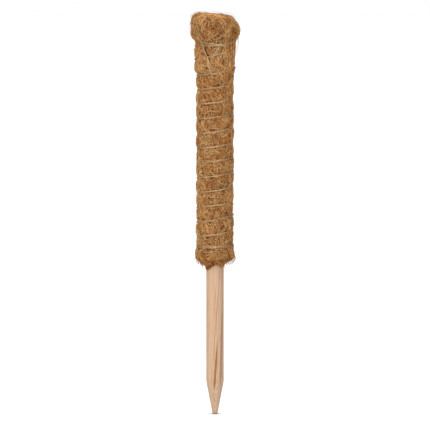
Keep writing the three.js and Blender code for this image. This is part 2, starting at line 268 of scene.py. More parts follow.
@dataclass
class CoirSurface:
    """The outside of the coir, from the crown's middle down to the stake."""

    sizes: PoleSizes
    winding: Winding
    skirt_radius: float = 25.5
    crest_radius: float = 23.0
    head_depth: float = 21.0
    crown_rounding: float = 10.5
    crown_dome: float = 1.6
    over_crown: float = 1.0
    skirt_edge: float = 7.0
    flare_height: float = 15.0
    flare_fade: float = 17.0
    collar_thickness: float = 0.5
    foot_hollow: float = 2.1
    hem_reach: float = 10.0
    outline_points: int = 40
    sample_step: float = 0.5
    batch: int = 4000
    groove_depth: float = 2.0
    groove_floor: float = 0.7
    groove_half_width: float = 5.0
    low_tie_groove: float = 0.6
    low_tie_top: float = 42.0
    lump_height: float = 0.45
    lump_count: int = 14
    lump_rounds: tuple[int, int] = (1, 8)
    lump_length: float = 45.0
    flare_ragged: float = 0.6
    hem_waves: int = 3
    hem_wave: float = 2.2
    hem_tilt: float = 1.8
    hem_rise: float = 3.0
    flap_height: float = 1.3
    flap_fade: float = 9.0
    flap_past_tail: float = 1.2
    flap_start: float = 8.0
    flap_end: float = 4.0
    crease_depth: float = 2.6
    crease_width: float = 1.0
    crease_share: float = 0.55
    crease_end: float = 8.0
    cover_from: float = math.radians(25)
    cover_to: float = math.radians(86)
    cover_edge: float = math.radians(9)
    cover_drop: float = 30.0
    cover_fade: float = 8.0
    seed: int = 5
    radius: Array = field(init=False)
    z: Array = field(init=False)
    normal: Array = field(init=False)
    area: Array = field(init=False)
    lump_waves: Array = field(init=False)
    lump_slopes: Array = field(init=False)
    lump_phases: Array = field(init=False)

    def __post_init__(self) -> None:
        """Samples the outline evenly and draws the lumps."""
        corners = self.outline()
        length = np.concatenate(((0.0,), np.cumsum(np.linalg.norm(np.diff(corners, axis=0), axis=1))))
        stations = np.linspace(0.0, length[-1], int(length[-1] / self.sample_step))
        self.radius = np.interp(stations, length, corners[:, 0])
        self.z = np.interp(stations, length, corners[:, 1])
        along = unit(np.gradient(np.stack((self.radius, self.z), axis=-1), axis=0))
        self.normal = np.stack((-along[:, 1], along[:, 0]), axis=-1)
        self.area = FULL_TURN * self.radius * (stations[1] - stations[0])
        draw = np.random.default_rng(self.seed)
        self.lump_waves = draw.integers(*self.lump_rounds, self.lump_count)
        self.lump_slopes = draw.normal(0.0, FULL_TURN / self.lump_length, self.lump_count)
        self.lump_phases = draw.uniform(0.0, FULL_TURN, self.lump_count)

    @property
    def head_z(self) -> float:
        """Height of the head's widest place."""
        return self.sizes.crown_z - self.head_depth

    @property
    def top_z(self) -> float:
        """Height over every place on the coir's outline."""
        return self.sizes.crown_z + self.crown_dome + self.over_crown

    def reach(self, z: Array) -> Array:
        """Radius of the plain outline at each height."""
        return np.interp(-z, -self.z, self.radius)

    def outline(self) -> Array:
        """Draws the outline without grooves, and on down the stake for fibres that pass the hem.

        Returns:
            Radius and height of its corners, from the crown's middle to the stake.
        """
        sizes, tie_z = self.sizes, self.winding.top_tie_z
        rim = sizes.head_radius - self.crown_rounding
        share = np.linspace(0.0, 1.0, self.outline_points)
        dome = np.stack((rim * share, sizes.crown_z + self.crown_dome * (1 - share**2)), axis=-1)
        bend = share * math.pi / 2
        shoulder_r = sizes.head_radius - self.crown_rounding * (1 - np.sin(bend))
        shoulder = np.stack((shoulder_r, sizes.crown_z - self.head_depth * (1 - np.cos(bend))), axis=-1)
        neck_r = self.skirt_radius + (sizes.head_radius - self.skirt_radius) * smooth(1 - share)
        neck = np.stack((neck_r, self.head_z + (tie_z - self.head_z) * share), axis=-1)
        edge_r = self.skirt_radius + (self.crest_radius - self.skirt_radius) * smooth(share)
        edge = np.stack((edge_r, sizes.skirt_z + self.skirt_edge * (1 - share)), axis=-1)
        flare_r = self.crest_radius + (sizes.flare_radius - self.crest_radius) * smooth(share)
        flare = np.stack((flare_r, self.flare_height + self.flare_fade * (1 - share)), axis=-1)
        collar = sizes.stake_radius + self.collar_thickness
        rounded = np.sin((1 - share) * math.pi / 2) ** self.foot_hollow
        foot_r = collar + (sizes.flare_radius - collar) * rounded
        foot = np.stack((foot_r, self.flare_height * (1 - share)), axis=-1)
        hem = np.array(((collar, -self.hem_reach),))
        return np.concatenate((dome, shoulder[1:], neck[1:], edge, flare, foot[1:], hem))

    def foot(self, points: Array) -> tuple[Array, Array, Array]:
        """Drops points onto the outline turned round the axis.

        Args:
            points: one row of x, y and z for each.

        Returns:
            The places on the outline, the outward normals there and the way down the outline.
        """
        reach, angle = np.hypot(points[:, 0], points[:, 1]), angle_of(points)
        nearest = np.empty(len(points), int)
        for start in range(0, len(points), self.batch):
            part = slice(start, start + self.batch)
            gap = (reach[part, None] - self.radius) ** 2 + (points[part, 2, None] - self.z) ** 2
            nearest[part] = gap.argmin(axis=1)
        normal_r, normal_z = self.normal[nearest].T
        place = around(self.radius[nearest], angle, self.z[nearest])
        return place, around(normal_r, angle, normal_z), around(normal_z, angle, -normal_r)

    def lumps(self, angle: Array, z: Array) -> Array:
        """Finds the coir's unevenness, which grows towards the foot.

        Args:
            angle: of each place.
            z: its height.

        Returns:
            How far the coir stands out there.
        """
        wave = self.lump_waves * angle[..., None] + self.lump_slopes * z[..., None] + self.lump_phases
        ragged = 1.0 + self.flare_ragged * smooth((self.flare_height - z) / self.flare_height)
        return ragged * self.lump_height * np.sin(wave).sum(axis=-1) / math.sqrt(self.lump_count / 2)

    def flap(self, angle: Array, z: Array) -> Array:
        """Finds the height of the cap's overlapping edge, which slants down beside the tail.

        Args:
            angle: of each place.
            z: its height.

        Returns:
            How far the coir stands out there, below zero in the crease.
        """
        share, gap = self.flap_share(z), self.past_flap(angle, z)
        raised = np.where(gap < 0, self.flap_height * np.exp(gap / self.flap_fade), 0.0)
        crease = np.where(gap >= 0, -self.crease_depth * np.exp(-((gap / self.crease_width) ** 2)), 0.0)
        closed = smooth((self.crease_share - share) * self.crease_end)
        ended = smooth((1.0 - share) * self.flap_end)
        return (raised * ended + crease * closed) * smooth(share * self.flap_start)

    def flap_share(self, z: Array) -> Array:
        """How far down from the top tie to the cap's lower edge each height is."""
        top_z, end_z = self.winding.top_tie_z, self.sizes.skirt_z
        return (top_z - z) / (top_z - end_z)

    def past_flap(self, angle: Array, z: Array) -> Array:
        """How far round past the overlapping edge each place is."""
        edge = self.winding.tail_angle(z) + self.flap_past_tail / self.skirt_radius
        return (np.mod(angle - edge + math.pi, FULL_TURN) - math.pi) * self.skirt_radius

    def crosses_crease(self, paths: Array) -> Array:
        """Tells which fibres would lie across the open crease.

        Args:
            paths: points of each fibre.

        Returns:
            True for each fibre that does.
        """
        gap = self.past_flap(angle_of(paths), paths[..., 2]) - self.crease_width / 2
        share = self.flap_share(paths[..., 2])
        open_there = (share > 0.0) & (share < self.crease_share) & (np.abs(gap) < self.skirt_radius)
        crossing = (gap[:, 1:] * gap[:, :-1] < 0.0) & open_there[:, 1:] & open_there[:, :-1]
        return crossing.any(axis=1)

    def groove(self, angle: Array, z: Array) -> Array:
        """Finds how far the twine draws the coir in, less at the low tie, and not under loose coir.

        Args:
            angle: of each place.
            z: its height.

        Returns:
            The depths.
        """
        bank = self.groove_half_width - self.groove_floor
        slope = (self.winding.distance(angle, z) - self.groove_floor) / bank
        above = smooth((z - self.winding.bottom_tie_z) / (self.low_tie_top - self.winding.bottom_tie_z))
        depth = self.groove_depth * (self.low_tie_groove + (1.0 - self.low_tie_groove) * above)
        return depth * (1.0 - smooth(slope)) * (1.0 - self.cover(angle, z))

    def cover(self, angle: Array, z: Array) -> Array:
        """Finds how fully loose coir from the head lies over the twine on the right.

        Args:
            angle: of each place.
            z: its height.

        Returns:
            Shares from 0 to 1.
        """
        begun = smooth((angle - self.cover_from) / self.cover_edge + 0.5)
        ended = smooth((angle - self.cover_to) / self.cover_edge + 0.5)
        low_z = self.winding.top_tie_z - self.cover_drop
        return begun * (1.0 - ended) * smooth((z - low_z) / self.cover_fade)

    def height(self, points: Array, follow: Array | float = 1.0) -> Array:
        """How far the coir stands out from its outline, where follow is how fully it dips into grooves."""
        angle, z = angle_of(points), points[..., 2]
        return self.lumps(angle, z) + self.flap(angle, z) - follow * self.groove(angle, z)

    def skewed(self, points: Array) -> Array:
        """Tilts and leans the crown to the left and lets the lower hem rise and fall.

        Args:
            points: places on the pole.

        Returns:
            The moved places.
        """
        moved, angle, z = points.copy(), angle_of(points), points[..., 2]
        crown = smooth((z - self.head_z) / self.head_depth)
        moved[..., 2] -= self.sizes.crown_slant * crown * points[..., 0] / self.sizes.head_radius
        moved[..., 0] -= self.sizes.crown_lean * crown
        wave = self.hem_wave * np.cos(self.hem_waves * angle)
        hem = self.hem_rise + wave + self.hem_tilt * np.sin(angle)
        moved[..., 2] += hem * smooth(1.0 - z / self.flare_height)
        return moved


@dataclass
class Strands:
    """Many thin round strands, each a row of points with a radius and a tone there."""

    paths: Array
    normals: Array
    radii: Array
    tones: Array

    def __post_init__(self) -> None:
        """Spreads a tone that is given once for a strand over its points."""
        self.tones = np.broadcast_to(self.tones.reshape(len(self.paths), -1), self.paths.shape[:2])

    def part(self, chosen: slice | Array) -> "Strands":
        """Some of the strands."""
        return Strands(self.paths[chosen], self.normals[chosen], self.radii[chosen], self.tones[chosen])

    @staticmethod
    def joined(groups: list["Strands"]) -> "Strands":
        """All strands of several groups with the same number of points."""
        fields = ("paths", "normals", "radii", "tones")
        return Strands(*(np.concatenate([getattr(group, name) for group in groups]) for name in fields))

    def to_object(self, name: str, sides: int, columns: int, stretches: int = 1) -> Object:
        """Writes the strands as closed tubes in one mesh.

        Args:
            name: of the object.
            sides: of each tube.
            columns: of cells on the bake map.
            stretches: cells that each strand is laid out in.

        Returns:
            The new object, with a tone on each point and its own bake map.
        """
        count, points = self.paths.shape[:2]
        along = unit(np.gradient(self.paths, axis=1))
        across = unit(np.cross(along, self.normals))
        out = np.cross(across, along)
        turn = FULL_TURN * np.arange(sides) / sides
        ring = np.cos(turn)[:, None] * out[:, :, None] + np.sin(turn)[:, None] * across[:, :, None]
        corners = (self.paths[:, :, None] + self.radii[:, :, None, None] * ring) * MM
        number = np.arange(count * points * sides).reshape(count, points, sides)
        beside = np.roll(number, -1, axis=2)
        walls = np.stack((number[:, :-1], beside[:, :-1], beside[:, 1:], number[:, 1:]), axis=-1)
        ends = np.stack((number[:, 0, ::-1], number[:, -1]), axis=1)
        loops = np.concatenate((walls.ravel(), ends.ravel()))
        wall_corners = walls.shape[-1]
        wall_sizes = np.full(walls.size // wall_corners, wall_corners)
        sizes = np.concatenate((wall_sizes, np.full(count * 2, sides)))

        mesh = bpy.data.meshes.new(name)
        mesh.vertices.add(count * points * sides)
        mesh.vertices.foreach_set("co", corners.astype(np.float32).ravel())
        mesh.loops.add(len(loops))
        mesh.loops.foreach_set("vertex_index", loops.astype(np.int32))
        mesh.polygons.add(len(sizes))
        mesh.polygons.foreach_set("loop_start", (np.cumsum(sizes) - sizes).astype(np.int32))
        mesh.update(calc_edges=True)
        mesh.shade_smooth()
        tone = mesh.attributes.new(TONE, "FLOAT", "POINT")
        tone.data.foreach_set("value", np.repeat(self.tones.ravel(), sides).astype(np.float32))
        self.lay_out(mesh, sides, columns, stretches)
        made = bpy.data.objects.new(name, mesh)
        bpy.context.scene.collection.objects.link(made)
        return made

    def lay_out(self, mesh: Mesh, sides: int, columns: int, stretches: int) -> None:
        """Gives each stretch of a strand a cell on the bake map, and lays the strands out unbroken too.

        Args:
            mesh: the strands' mesh, walls first and ends last.
            sides: of each tube.
            columns: of cells on the bake map.
            stretches: cells for each strand.
        """
        count, points = self.paths.shape[:2]
        steps = math.ceil((points - 1) / stretches)
        spans = (np.arange(count), np.arange(points - 1), np.arange(sides))
        strand, step, side = np.meshgrid(*spans, indexing="ij")
        cell = (strand * stretches + step // steps)[..., None]
        rows = math.ceil(count * stretches / columns)
        ahead, aside = np.array((0, 0, 1, 1)), np.array((0, 1, 1, 0))
        corner_step = (step % steps)[..., None] + ahead
        corner_side = side[..., None] + aside
        u = (cell % columns + CELL_MARGIN + CELL_USED * corner_step / steps) / columns
        v = (cell // columns + CELL_MARGIN + CELL_USED * corner_side / sides) / rows
        walls = np.stack((u, v), axis=-1).reshape(-1, 2)
        end_cell = np.repeat(np.arange(count) * stretches, 2 * sides)
        end_turn = np.tile(FULL_TURN * np.arange(sides) / sides, 2 * count)
        end_u = (end_cell % columns + CELL_MARGIN * (0.5 + END_SPREAD * np.cos(end_turn))) / columns
        end_v = (end_cell // columns + 0.5 + CELL_MARGIN * np.sin(end_turn)) / rows
        ends = np.stack((end_u, end_v), axis=-1)
        bake = mesh.uv_layers.new(name=BAKE_MAP)
        bake.uv.foreach_set("vector", np.concatenate((walls, ends)).astype(np.float32).ravel())
        whole = (step[..., None] + ahead).astype(float)
        lay = np.stack((whole, corner_side / sides), axis=-1).reshape(-1, 2)
        unbroken = mesh.uv_layers.new(name=LAY_MAP)
        unbroken.uv.foreach_set("vector", np.concatenate((lay, 0.0 * ends)).astype(np.float32).ravel())


def linear(colour: int) -> tuple[float, float, float, float]:
    """Red, green, blue and alpha of an sRGB hex value in linear light."""
    shares = [(colour >> shift & 255) / 255 for shift in (16, 8, 0)]
    return (*(s / 12.92 if s <= 0.04045 else ((s + 0.055) / 1.055) ** 2.4 for s in shares), 1.0)


def plug(tree: Tree, node: Node, inputs: dict) -> None:
    """Gives a node's inputs their values and links.

    Args:
        tree: that the node is in.
        node: whose inputs they are.
        inputs: a value or a node's output by each name or number, or values for a row of names.
    """
    for name, value in inputs.items():
        if isinstance(value, Socket):
            tree.links.new(value, node.inputs[name])
        elif isinstance(name, tuple):
            plug(tree, node, dict(zip(name, value)))
        else:
            node.inputs[name].default_value = value


def add_node(
    tree: Tree,
    kind: str,
    inputs: dict | None = None,
    stops: dict[float, int] | None = None,
    output: str | int = 0,
    **settings: object,
) -> Socket:
    """Adds a shader node.

    Args:
        tree: that gets the node.
        kind: of node, as its class without the ShaderNode in front.
        inputs: what plug gives its inputs.
        stops: an sRGB hex value for each place on a colour ramp.
        output: name or number of the wanted output.
        settings: the node's own properties.

    Returns:
        That output.
    """
    made = tree.nodes.new("ShaderNode" + kind)
    for name, value in settings.items():
        setattr(made, name, value)
    plug(tree, made, inputs or {})
    if stops:
        marks = made.color_ramp.elements
        while len(marks) < len(stops):
            marks.new(RAMP_MIDDLE)
        for mark, (place, colour) in zip(marks, sorted(stops.items())):
            mark.position = place
            mark.color = linear(colour)
    return made.outputs[output]


def new_material(name: str) -> tuple[Material, Tree, Node]:
    """Starts a material.

    Args:
        name: of the material.

    Returns:
        The material, its node tree and its shader.
    """
    made = bpy.data.materials.new(name)
    made.use_nodes = True
    return made, made.node_tree, made.node_tree.nodes["Principled BSDF"]


def per_metre(size: float) -> float:
    """Noise scale for features of a size in millimetres."""
    return 1.0 / (size * MM)


@dataclass(frozen=True)
class MatShading:
    """How packed strands take the light: partly by themselves, and partly as the mat that they make."""

    crown_z: float
    crown_turn: float = 8.0
    share: float = 0.58

    def add_normal(self, tree: Tree, place: Socket) -> Socket:
        """Turns a strand's normal partly to the mat's, which faces outwards, and upwards at the crown.

        Args:
            tree: that gets the nodes.
            place: on the pole, in metres.

        Returns:
            The mixed normal.
        """
        split = add_node(tree, "SeparateXYZ", {"Vector": place}).node.outputs
        crown = ((self.crown_z - self.crown_turn) * MM, self.crown_z * MM, 0.0, self.crown_turn * MM)
        rise = add_node(tree, "MapRange", {"Value": split["Z"], RANGE: crown})
        outward = add_node(tree, "CombineXYZ", {"X": split["X"], "Y": split["Y"], "Z": rise})
        outward = add_node(tree, "VectorMath", {0: outward}, operation="NORMALIZE")
        weight = {0: outward, "Scale": self.share / (1.0 - self.share)}
        weighed = add_node(tree, "VectorMath", weight, operation="SCALE")
        own = add_node(tree, "NewGeometry", output="Normal")
        mixed = add_node(tree, "VectorMath", {0: own, 1: weighed}, operation="ADD")
        return add_node(tree, "VectorMath", {0: mixed}, operation="NORMALIZE")


@dataclass(frozen=True)
class CoirFibre:
    """Retted coconut husk fibre: stiff wiry strands from husk brown to straw, with a dull waxy shine."""

    shading: MatShading
    name: str = "coir_fibre"
    husk: int = 0x632B07
    brown: int = 0xB56824
    golden: int = 0xE9A254
    straw: int = 0xFBD498
    brown_at: float = 0.36
    golden_at: float = 0.7
    blotch_size: float = 7.0
    blotch_detail: float = 3.0
    blotch_shift: Range = (0.3, 0.7, -0.13, 0.13)
    roughness: Range = (0.0, 1.0, 0.48, 0.7)
    shine: float = 0.3

    def make(self) -> Material:
        """Mixes the fibre's own tone with blotches along it.

        Returns:
            The material.
        """
        made, tree, shader = new_material(self.name)
        place = add_node(tree, "TexCoord", output="Object")
        tone = add_node(tree, "Attribute", attribute_name=TONE, output="Fac")
        cloudy = {"Vector": place, "Scale": per_metre(self.blotch_size), "Detail": self.blotch_detail}
        blotch = add_node(tree, "TexNoise", cloudy)
        shift = add_node(tree, "MapRange", {"Value": blotch, RANGE: self.blotch_shift})
        mixed = add_node(tree, "Math", {0: tone, 1: shift}, operation="ADD", use_clamp=True)
        stops = {0.0: self.husk, self.brown_at: self.brown, self.golden_at: self.golden, 1.0: self.straw}
        colour = add_node(tree, "ValToRGB", {"Fac": mixed}, stops)
        dull = add_node(tree, "MapRange", {"Value": blotch, RANGE: self.roughness})
        normal = self.shading.add_normal(tree, place)
        plug(tree, shader, {"Base Color": colour, "Roughness": dull, "Normal": normal})
        plug(tree, shader, {"Specular IOR Level": self.shine})
        return made


@dataclass(frozen=True)
class CoirMatAndShade:
    """Needled coir mat of short fibres and pith dust, quite dull, drawn dark as painted shade in the gaps."""

    name: str = "coir_mat_and_shade"
    # Painted shade: these dark colours stand for the shade in the gaps between the loose fibres
    shade: int = 0x371704
    husk: int = 0x68340C
    brown: int = 0x90501A
    husk_at: float = 0.55
    fibre_size: float = 0.9
    fibre_detail: float = 4.0
    fibre_bend: float = 1.2
    upright_stretch: Point = (1.0, 1.0, 0.16)
    level_stretch: Point = (0.2, 0.2, 1.0)
    clump_size: float = 4.0
    clump_detail: float = 2.0
    paleness: Range = (0.16, 0.42, 0.0, 1.0)
    bump_height: float = 0.5
    roughness: float = 0.92

    def make(self) -> Material:
        """Crosses two stretched noises for short fibres, over clumps.

        Returns:
            The material.
        """
        made, tree, shader = new_material(self.name)
        place = add_node(tree, "TexCoord", output="Object")
        strokes = []
        for stretch in (self.upright_stretch, self.level_stretch):
            drawn = add_node(tree, "Mapping", {"Vector": place, "Scale": stretch})
            stroke = {"Vector": drawn, "Scale": per_metre(self.fibre_size), "Detail": self.fibre_detail}
            strokes.append(add_node(tree, "TexNoise", {**stroke, "Distortion": self.fibre_bend}))
        fibres = add_node(tree, "Math", dict(enumerate(strokes)), operation="MAXIMUM")
        cloudy = {"Vector": place, "Scale": per_metre(self.clump_size), "Detail": self.clump_detail}
        clump = add_node(tree, "TexNoise", cloudy)
        both = add_node(tree, "Math", {0: fibres, 1: clump}, operation="MULTIPLY")
        pale = add_node(tree, "MapRange", {"Value": both, RANGE: self.paleness})
        stops = {0.0: self.shade, self.husk_at: self.husk, 1.0: self.brown}
        colour = add_node(tree, "ValToRGB", {"Fac": pale}, stops)
        normal = add_node(tree, "Bump", {"Height": fibres, "Distance": self.bump_height * MM})
        plug(tree, shader, {"Base Color": colour, "Normal": normal, "Roughness": self.roughness})
        return made


@dataclass(frozen=True)
class JuteTwine:
    """Spun jute: pale dusty tan plies with fine silky fibres running along the twist."""

    shading: MatShading
    name: str = "jute_twine"
    shade: int = 0x805836
    tan: int = 0xC79C6C
    pale: int = 0xEFD0A4
    tan_at: float = 0.5
    streaks_round: float = 9.0
    streak_steps: float = 7.0
    streak_detail: float = 3.0
    streak_shift: Range = (0.28, 0.72, -0.4, 0.4)
    bump_height: float = 0.06
    roughness: float = 0.78

    def make(self) -> Material:
        """Draws streaks along each ply from its own layout.

        Returns:
            The material.
        """
        made, tree, shader = new_material(self.name)
        lay = add_node(tree, "UVMap", uv_map=LAY_MAP)
        scale = (1.0 / self.streak_steps, self.streaks_round, 1.0)
        drawn = add_node(tree, "Mapping", {"Vector": lay, "Scale": scale})
        streak = add_node(tree, "TexNoise", {"Vector": drawn, "Scale": 1.0, "Detail": self.streak_detail})
        tone = add_node(tree, "Attribute", attribute_name=TONE, output="Fac")
        shift = add_node(tree, "MapRange", {"Value": streak, RANGE: self.streak_shift})
        mixed = add_node(tree, "Math", {0: tone, 1: shift}, operation="ADD", use_clamp=True)
        stops = {0.0: self.shade, self.tan_at: self.tan, 1.0: self.pale}
        colour = add_node(tree, "ValToRGB", {"Fac": mixed}, stops)
        flat = self.shading.add_normal(tree, add_node(tree, "TexCoord", output="Object"))
        height = self.bump_height * MM
        normal = add_node(tree, "Bump", {"Height": streak, "Distance": height, "Normal": flat})
        plug(tree, shader, {"Base Color": colour, "Normal": normal, "Roughness": self.roughness})
        return made


@dataclass(frozen=True)
class WoodMark:
    """A dark mark on the stake's front, from its top to its end, with its width, colour and strength."""

    top_x: float
    top_z: float
    end_x: float
    end_z: float
    width: float
    colour: int
    strength: float


class Marks(Enum):
    """Marks on the wood, the heartwood's and the thin red line's among them, and a painted shade down the
    right side.
    """

    RED_LINE = WoodMark(6.9, 12.0, -2.8, -124.0, 0.9, 0xB3744B, 0.8)
    SOFT_LINE = WoodMark(3.6, 6.0, -2.4, -70.0, 0.9, 0xBC8B64, 0.6)
    HEARTWOOD = WoodMark(3.5, -86.0, -1.1, -153.0, 2.8, 0x97653C, 0.95)
    # Painted shade: a darker, warmer band down the right side of the stake's front, where the light falls off
    RIGHT_SIDE_SHADE = WoodMark(9.6, -30.0, 6.8, -150.0, 2.6, 0xAC7A54, 0.75)
    RIGHT_LINE = WoodMark(7.2, -88.0, 5.4, -148.0, 0.8, 0xB27B55, 0.6)
    LEFT_LINE = WoodMark(-3.4, -84.0, -4.2, -150.0, 0.8, 0xB78862, 0.6)
    POINT_MARK = WoodMark(-2.2, -150.0, -0.2, -170.0, 0.8, 0xAE7F5A, 0.7)


@dataclass(frozen=True)
class TurnedWood:
    """Plain-sawn pale hardwood, turned and sanded: pinkish tan with soft growth rings and fine dark pores.

    The pores are drawn about twice as wide as in such wood, since finer ones wouldn't show.
    """

    name: str = "turned_hardwood"
    early: int = 0xD8B798
    late: int = 0xBC8F6A
    flush: int = 0xD0A082
    flush_size: float = 14.0
    flush_detail: float = 1.0
    flush_share: Range = (0.45, 0.7, 0.0, 0.45)
    ring_width: float = 1.5
    ring_share: Range = (0.35, 0.9, 0.0, 0.5)
    pith_behind: float = 60.0
    pith_aside: float = -9.0
    waver: float = 1.8
    waver_size: float = 9.0
    waver_detail: float = 2.0
    waver_stretch: float = 0.09
    lean: float = 0.035
    grain_detail: float = 3.0
    streak_width: float = 1.6
    streak_length: float = 130.0
    streak_share: Range = (0.46, 0.7, 0.0, 0.75)
    pore_width: float = 0.4
    pore_length: float = 18.0
    pore_share: Range = (0.45, 0.75, -0.2, 0.5)
    fray_width: float = 0.6
    fray_length: float = 12.0
    fray_depth: float = 1.2
    mark_front: Limits = (-2.0, -6.0)
    mark_full: Limits = (0.45, 0.88)
    mark_edge: Limits = (-0.9, -0.25)
    bump_height: float = 0.1
    roughness: float = 0.6

    def make(self) -> Material:
        """Lays rings, streaks, pores, a pink flush and the dark marks over one another.

        Returns:
            The material.
        """
        made, tree, shader = new_material(self.name)
        place = add_node(tree, "TexCoord", output="Object")
        leaning = add_node(tree, "Mapping", {"Vector": place, "Rotation": (0.0, math.atan(self.lean), 0.0)})
        slow = add_node(tree, "Mapping", {"Vector": leaning, "Scale": (1.0, 1.0, self.waver_stretch)})
        rings = self.add_rings(tree, leaning, slow)
        streaks = self.add_grain(tree, leaning, self.streak_width, self.streak_length)
        streak = add_node(tree, "MapRange", {"Value": streaks, RANGE: self.streak_share})
        both = add_node(tree, "Math", {0: rings, 1: streak}, operation="MAXIMUM")
        pores = self.add_grain(tree, leaning, self.pore_width, self.pore_length)
        speck = add_node(tree, "MapRange", {"Value": pores, RANGE: self.pore_share})
        dark = add_node(tree, "Math", {0: both, 1: speck}, operation="ADD", use_clamp=True)
        grain = {MIX_SHARE: dark, MIX_UNDER: linear(self.early), MIX_OVER: linear(self.late)}
        grained = add_node(tree, "Mix", grain, data_type="RGBA", output=MIX_RESULT)
        cloudy = {"Vector": slow, "Scale": per_metre(self.flush_size), "Detail": self.flush_detail}
        blush = add_node(tree, "TexNoise", cloudy)
        pink = add_node(tree, "MapRange", {"Value": blush, RANGE: self.flush_share})
        warm = {MIX_SHARE: pink, MIX_UNDER: grained, MIX_OVER: linear(self.flush)}
        flushed = add_node(tree, "Mix", warm, data_type="RGBA", output=MIX_RESULT)
        colour = self.add_marks(tree, place, flushed)
        normal = add_node(tree, "Bump", {"Height": pores, "Distance": self.bump_height * MM})
        plug(tree, shader, {"Base Color": colour, "Normal": normal, "Roughness": self.roughness})
        return made

    def add_rings(self, tree: Tree, leaning: Socket, slow: Socket) -> Socket:
        """Cuts rings round a pith behind the stake, so that the point shows nested V shapes.

        Args:
            tree: of the wood.
            leaning: the place along the tree's own axis.
            slow: the same place, drawn out along the stake.

        Returns:
            How dark the rings are, from 0 to 1.
        """
        cloudy = {"Vector": slow, "Scale": per_metre(self.waver_size), "Detail": self.waver_detail}
        wander = add_node(tree, "TexNoise", cloudy)
        pith = (self.pith_aside * MM, self.pith_behind * MM, 0.0)
        moved = add_node(tree, "VectorMath", {0: leaning, 1: pith}, operation="SUBTRACT")
        flat = add_node(tree, "VectorMath", {0: moved, 1: LEVEL}, operation="MULTIPLY")
        reach = add_node(tree, "VectorMath", {0: flat}, operation="LENGTH", output="Value")
        uneven = add_node(tree, "Math", {0: wander, 1: self.waver * MM, 2: reach}, operation="MULTIPLY_ADD")
        count = add_node(tree, "Math", {0: uneven, 1: self.ring_width * MM}, operation="DIVIDE")
        ring = add_node(tree, "Math", {0: count}, operation="FRACT")
        return add_node(tree, "MapRange", {"Value": ring, RANGE: self.ring_share})

    def add_grain(self, tree: Tree, place: Socket, width: float, length: float) -> Socket:
        """Draws a noise out along the stake.

        Args:
            tree: of the wood.
            place: the place on the stake.
            width: of one line.
            length: of one line.

        Returns:
            The noise, from 0 to 1.
        """
        stretch = (per_metre(width), per_metre(width), per_metre(length))
        drawn = add_node(tree, "Mapping", {"Vector": place, "Scale": stretch})
        return add_node(tree, "TexNoise", {"Vector": drawn, "Scale": 1.0, "Detail": self.grain_detail})

    def add_marks(self, tree: Tree, place: Socket, under: Socket) -> Socket:
        """Lays the dark marks over the front of the stake, a painted shade down its right side among them.

        Args:
            tree: of the wood.
            place: the place on the stake.
            under: the wood's colour so far.

        Returns:
            The colour with all marks.
        """
        split = add_node(tree, "SeparateXYZ", {"Vector": place}).node.outputs
        fray = self.add_grain(tree, place, self.fray_width, self.fray_length)
        none_y, full_y = self.mark_front
        facing = {"Value": split["Y"], RANGE: (none_y * MM, full_y * MM, 0.0, 1.0)}
        front = add_node(tree, "MapRange", facing, interpolation_type="SMOOTHSTEP")
        for mark in Marks:
            there = self.add_mark(tree, split, fray, mark.value)
            shown = add_node(tree, "Math", {0: there, 1: front}, operation="MULTIPLY")
            over = {MIX_SHARE: shown, MIX_UNDER: under, MIX_OVER: linear(mark.value.colour)}
            under = add_node(tree, "Mix", over, data_type="RGBA", output=MIX_RESULT)
        return under

    def add_mark(self, tree: Tree, split: NodeOutputs, fray: Socket, mark: WoodMark) -> Socket:
        """Draws one mark, pointed at both ends and frayed at its edges.

        Args:
            tree: of the wood.
            split: the place's x, y and z.
            fray: noise that frays the edges.
            mark: what is drawn.

        Returns:
            How strong the mark is at each place.
        """
        x, z = split["X"], split["Z"]
        slope = (mark.end_x - mark.top_x) / (mark.end_z - mark.top_z)
        aside = add_node(tree, "Math", {0: z, 1: -slope, 2: x}, operation="MULTIPLY_ADD")
        start_x = (mark.top_x - slope * mark.top_z) * MM
        gap = add_node(tree, "Math", {0: aside, 1: start_x}, operation="SUBTRACT")
        middle = add_node(tree, "Math", {0: gap}, operation="ABSOLUTE")
        away = add_node(tree, "Math", {0: fray, 1: self.fray_depth * MM, 2: middle}, operation="MULTIPLY_ADD")
        ends = []
        for tip_z, full_share in zip((mark.top_z, mark.end_z), self.mark_full):
            full_z = mark.top_z + (mark.end_z - mark.top_z) * full_share
            taper = (tip_z * MM, full_z * MM, 0.0, mark.width / 2 * MM)
            ends.append(add_node(tree, "MapRange", {"Value": z, RANGE: taper}))
        reach = add_node(tree, "Math", dict(enumerate(ends)), operation="MINIMUM")
        inside = add_node(tree, "Math", {0: reach, 1: away}, operation="SUBTRACT")
        none_there, full_there = self.mark_edge
        edge = (none_there * MM, full_there * MM, 0.0, mark.strength)
        return add_node(tree, "MapRange", {"Value": inside, RANGE: edge})


@dataclass(frozen=True)
class StapleWire:
    """Bright drawn steel wire with fine draw marks along it."""

    name: str = "drawn_steel_wire"
    steel: int = 0xC2C4C6
    grey: int = 0x9EA1A4
    grey_at: float = 0.3
    steel_at: float = 0.7
    mark_width: float = 0.12
    mark_stretch: float = 0.05
    roughness: Range = (0.0, 1.0, 0.25, 0.45)

    def make(self) -> Material:
        """Varies colour and roughness with the draw marks.

        Returns:
            The material.
        """
        made, tree, shader = new_material(self.name)
        place = add_node(tree, "TexCoord", output="Object")
        drawn = add_node(tree, "Mapping", {"Vector": place, "Scale": (1.0, 1.0, self.mark_stretch)})
        marks = add_node(tree, "TexNoise", {"Vector": drawn, "Scale": per_metre(self.mark_width)})
        stops = {self.grey_at: self.grey, self.steel_at: self.steel}
        colour = add_node(tree, "ValToRGB", {"Fac": marks}, stops)
        rough = add_node(tree, "MapRange", {"Value": marks, RANGE: self.roughness})
        plug(tree, shader, {"Base Color": colour, "Roughness": rough, "Metallic": 1.0})
        return made


def dress(piece: Object, material: Material) -> None:
    """Puts one material on a piece."""
    piece.data.materials.clear()
    piece.data.materials.append(material)


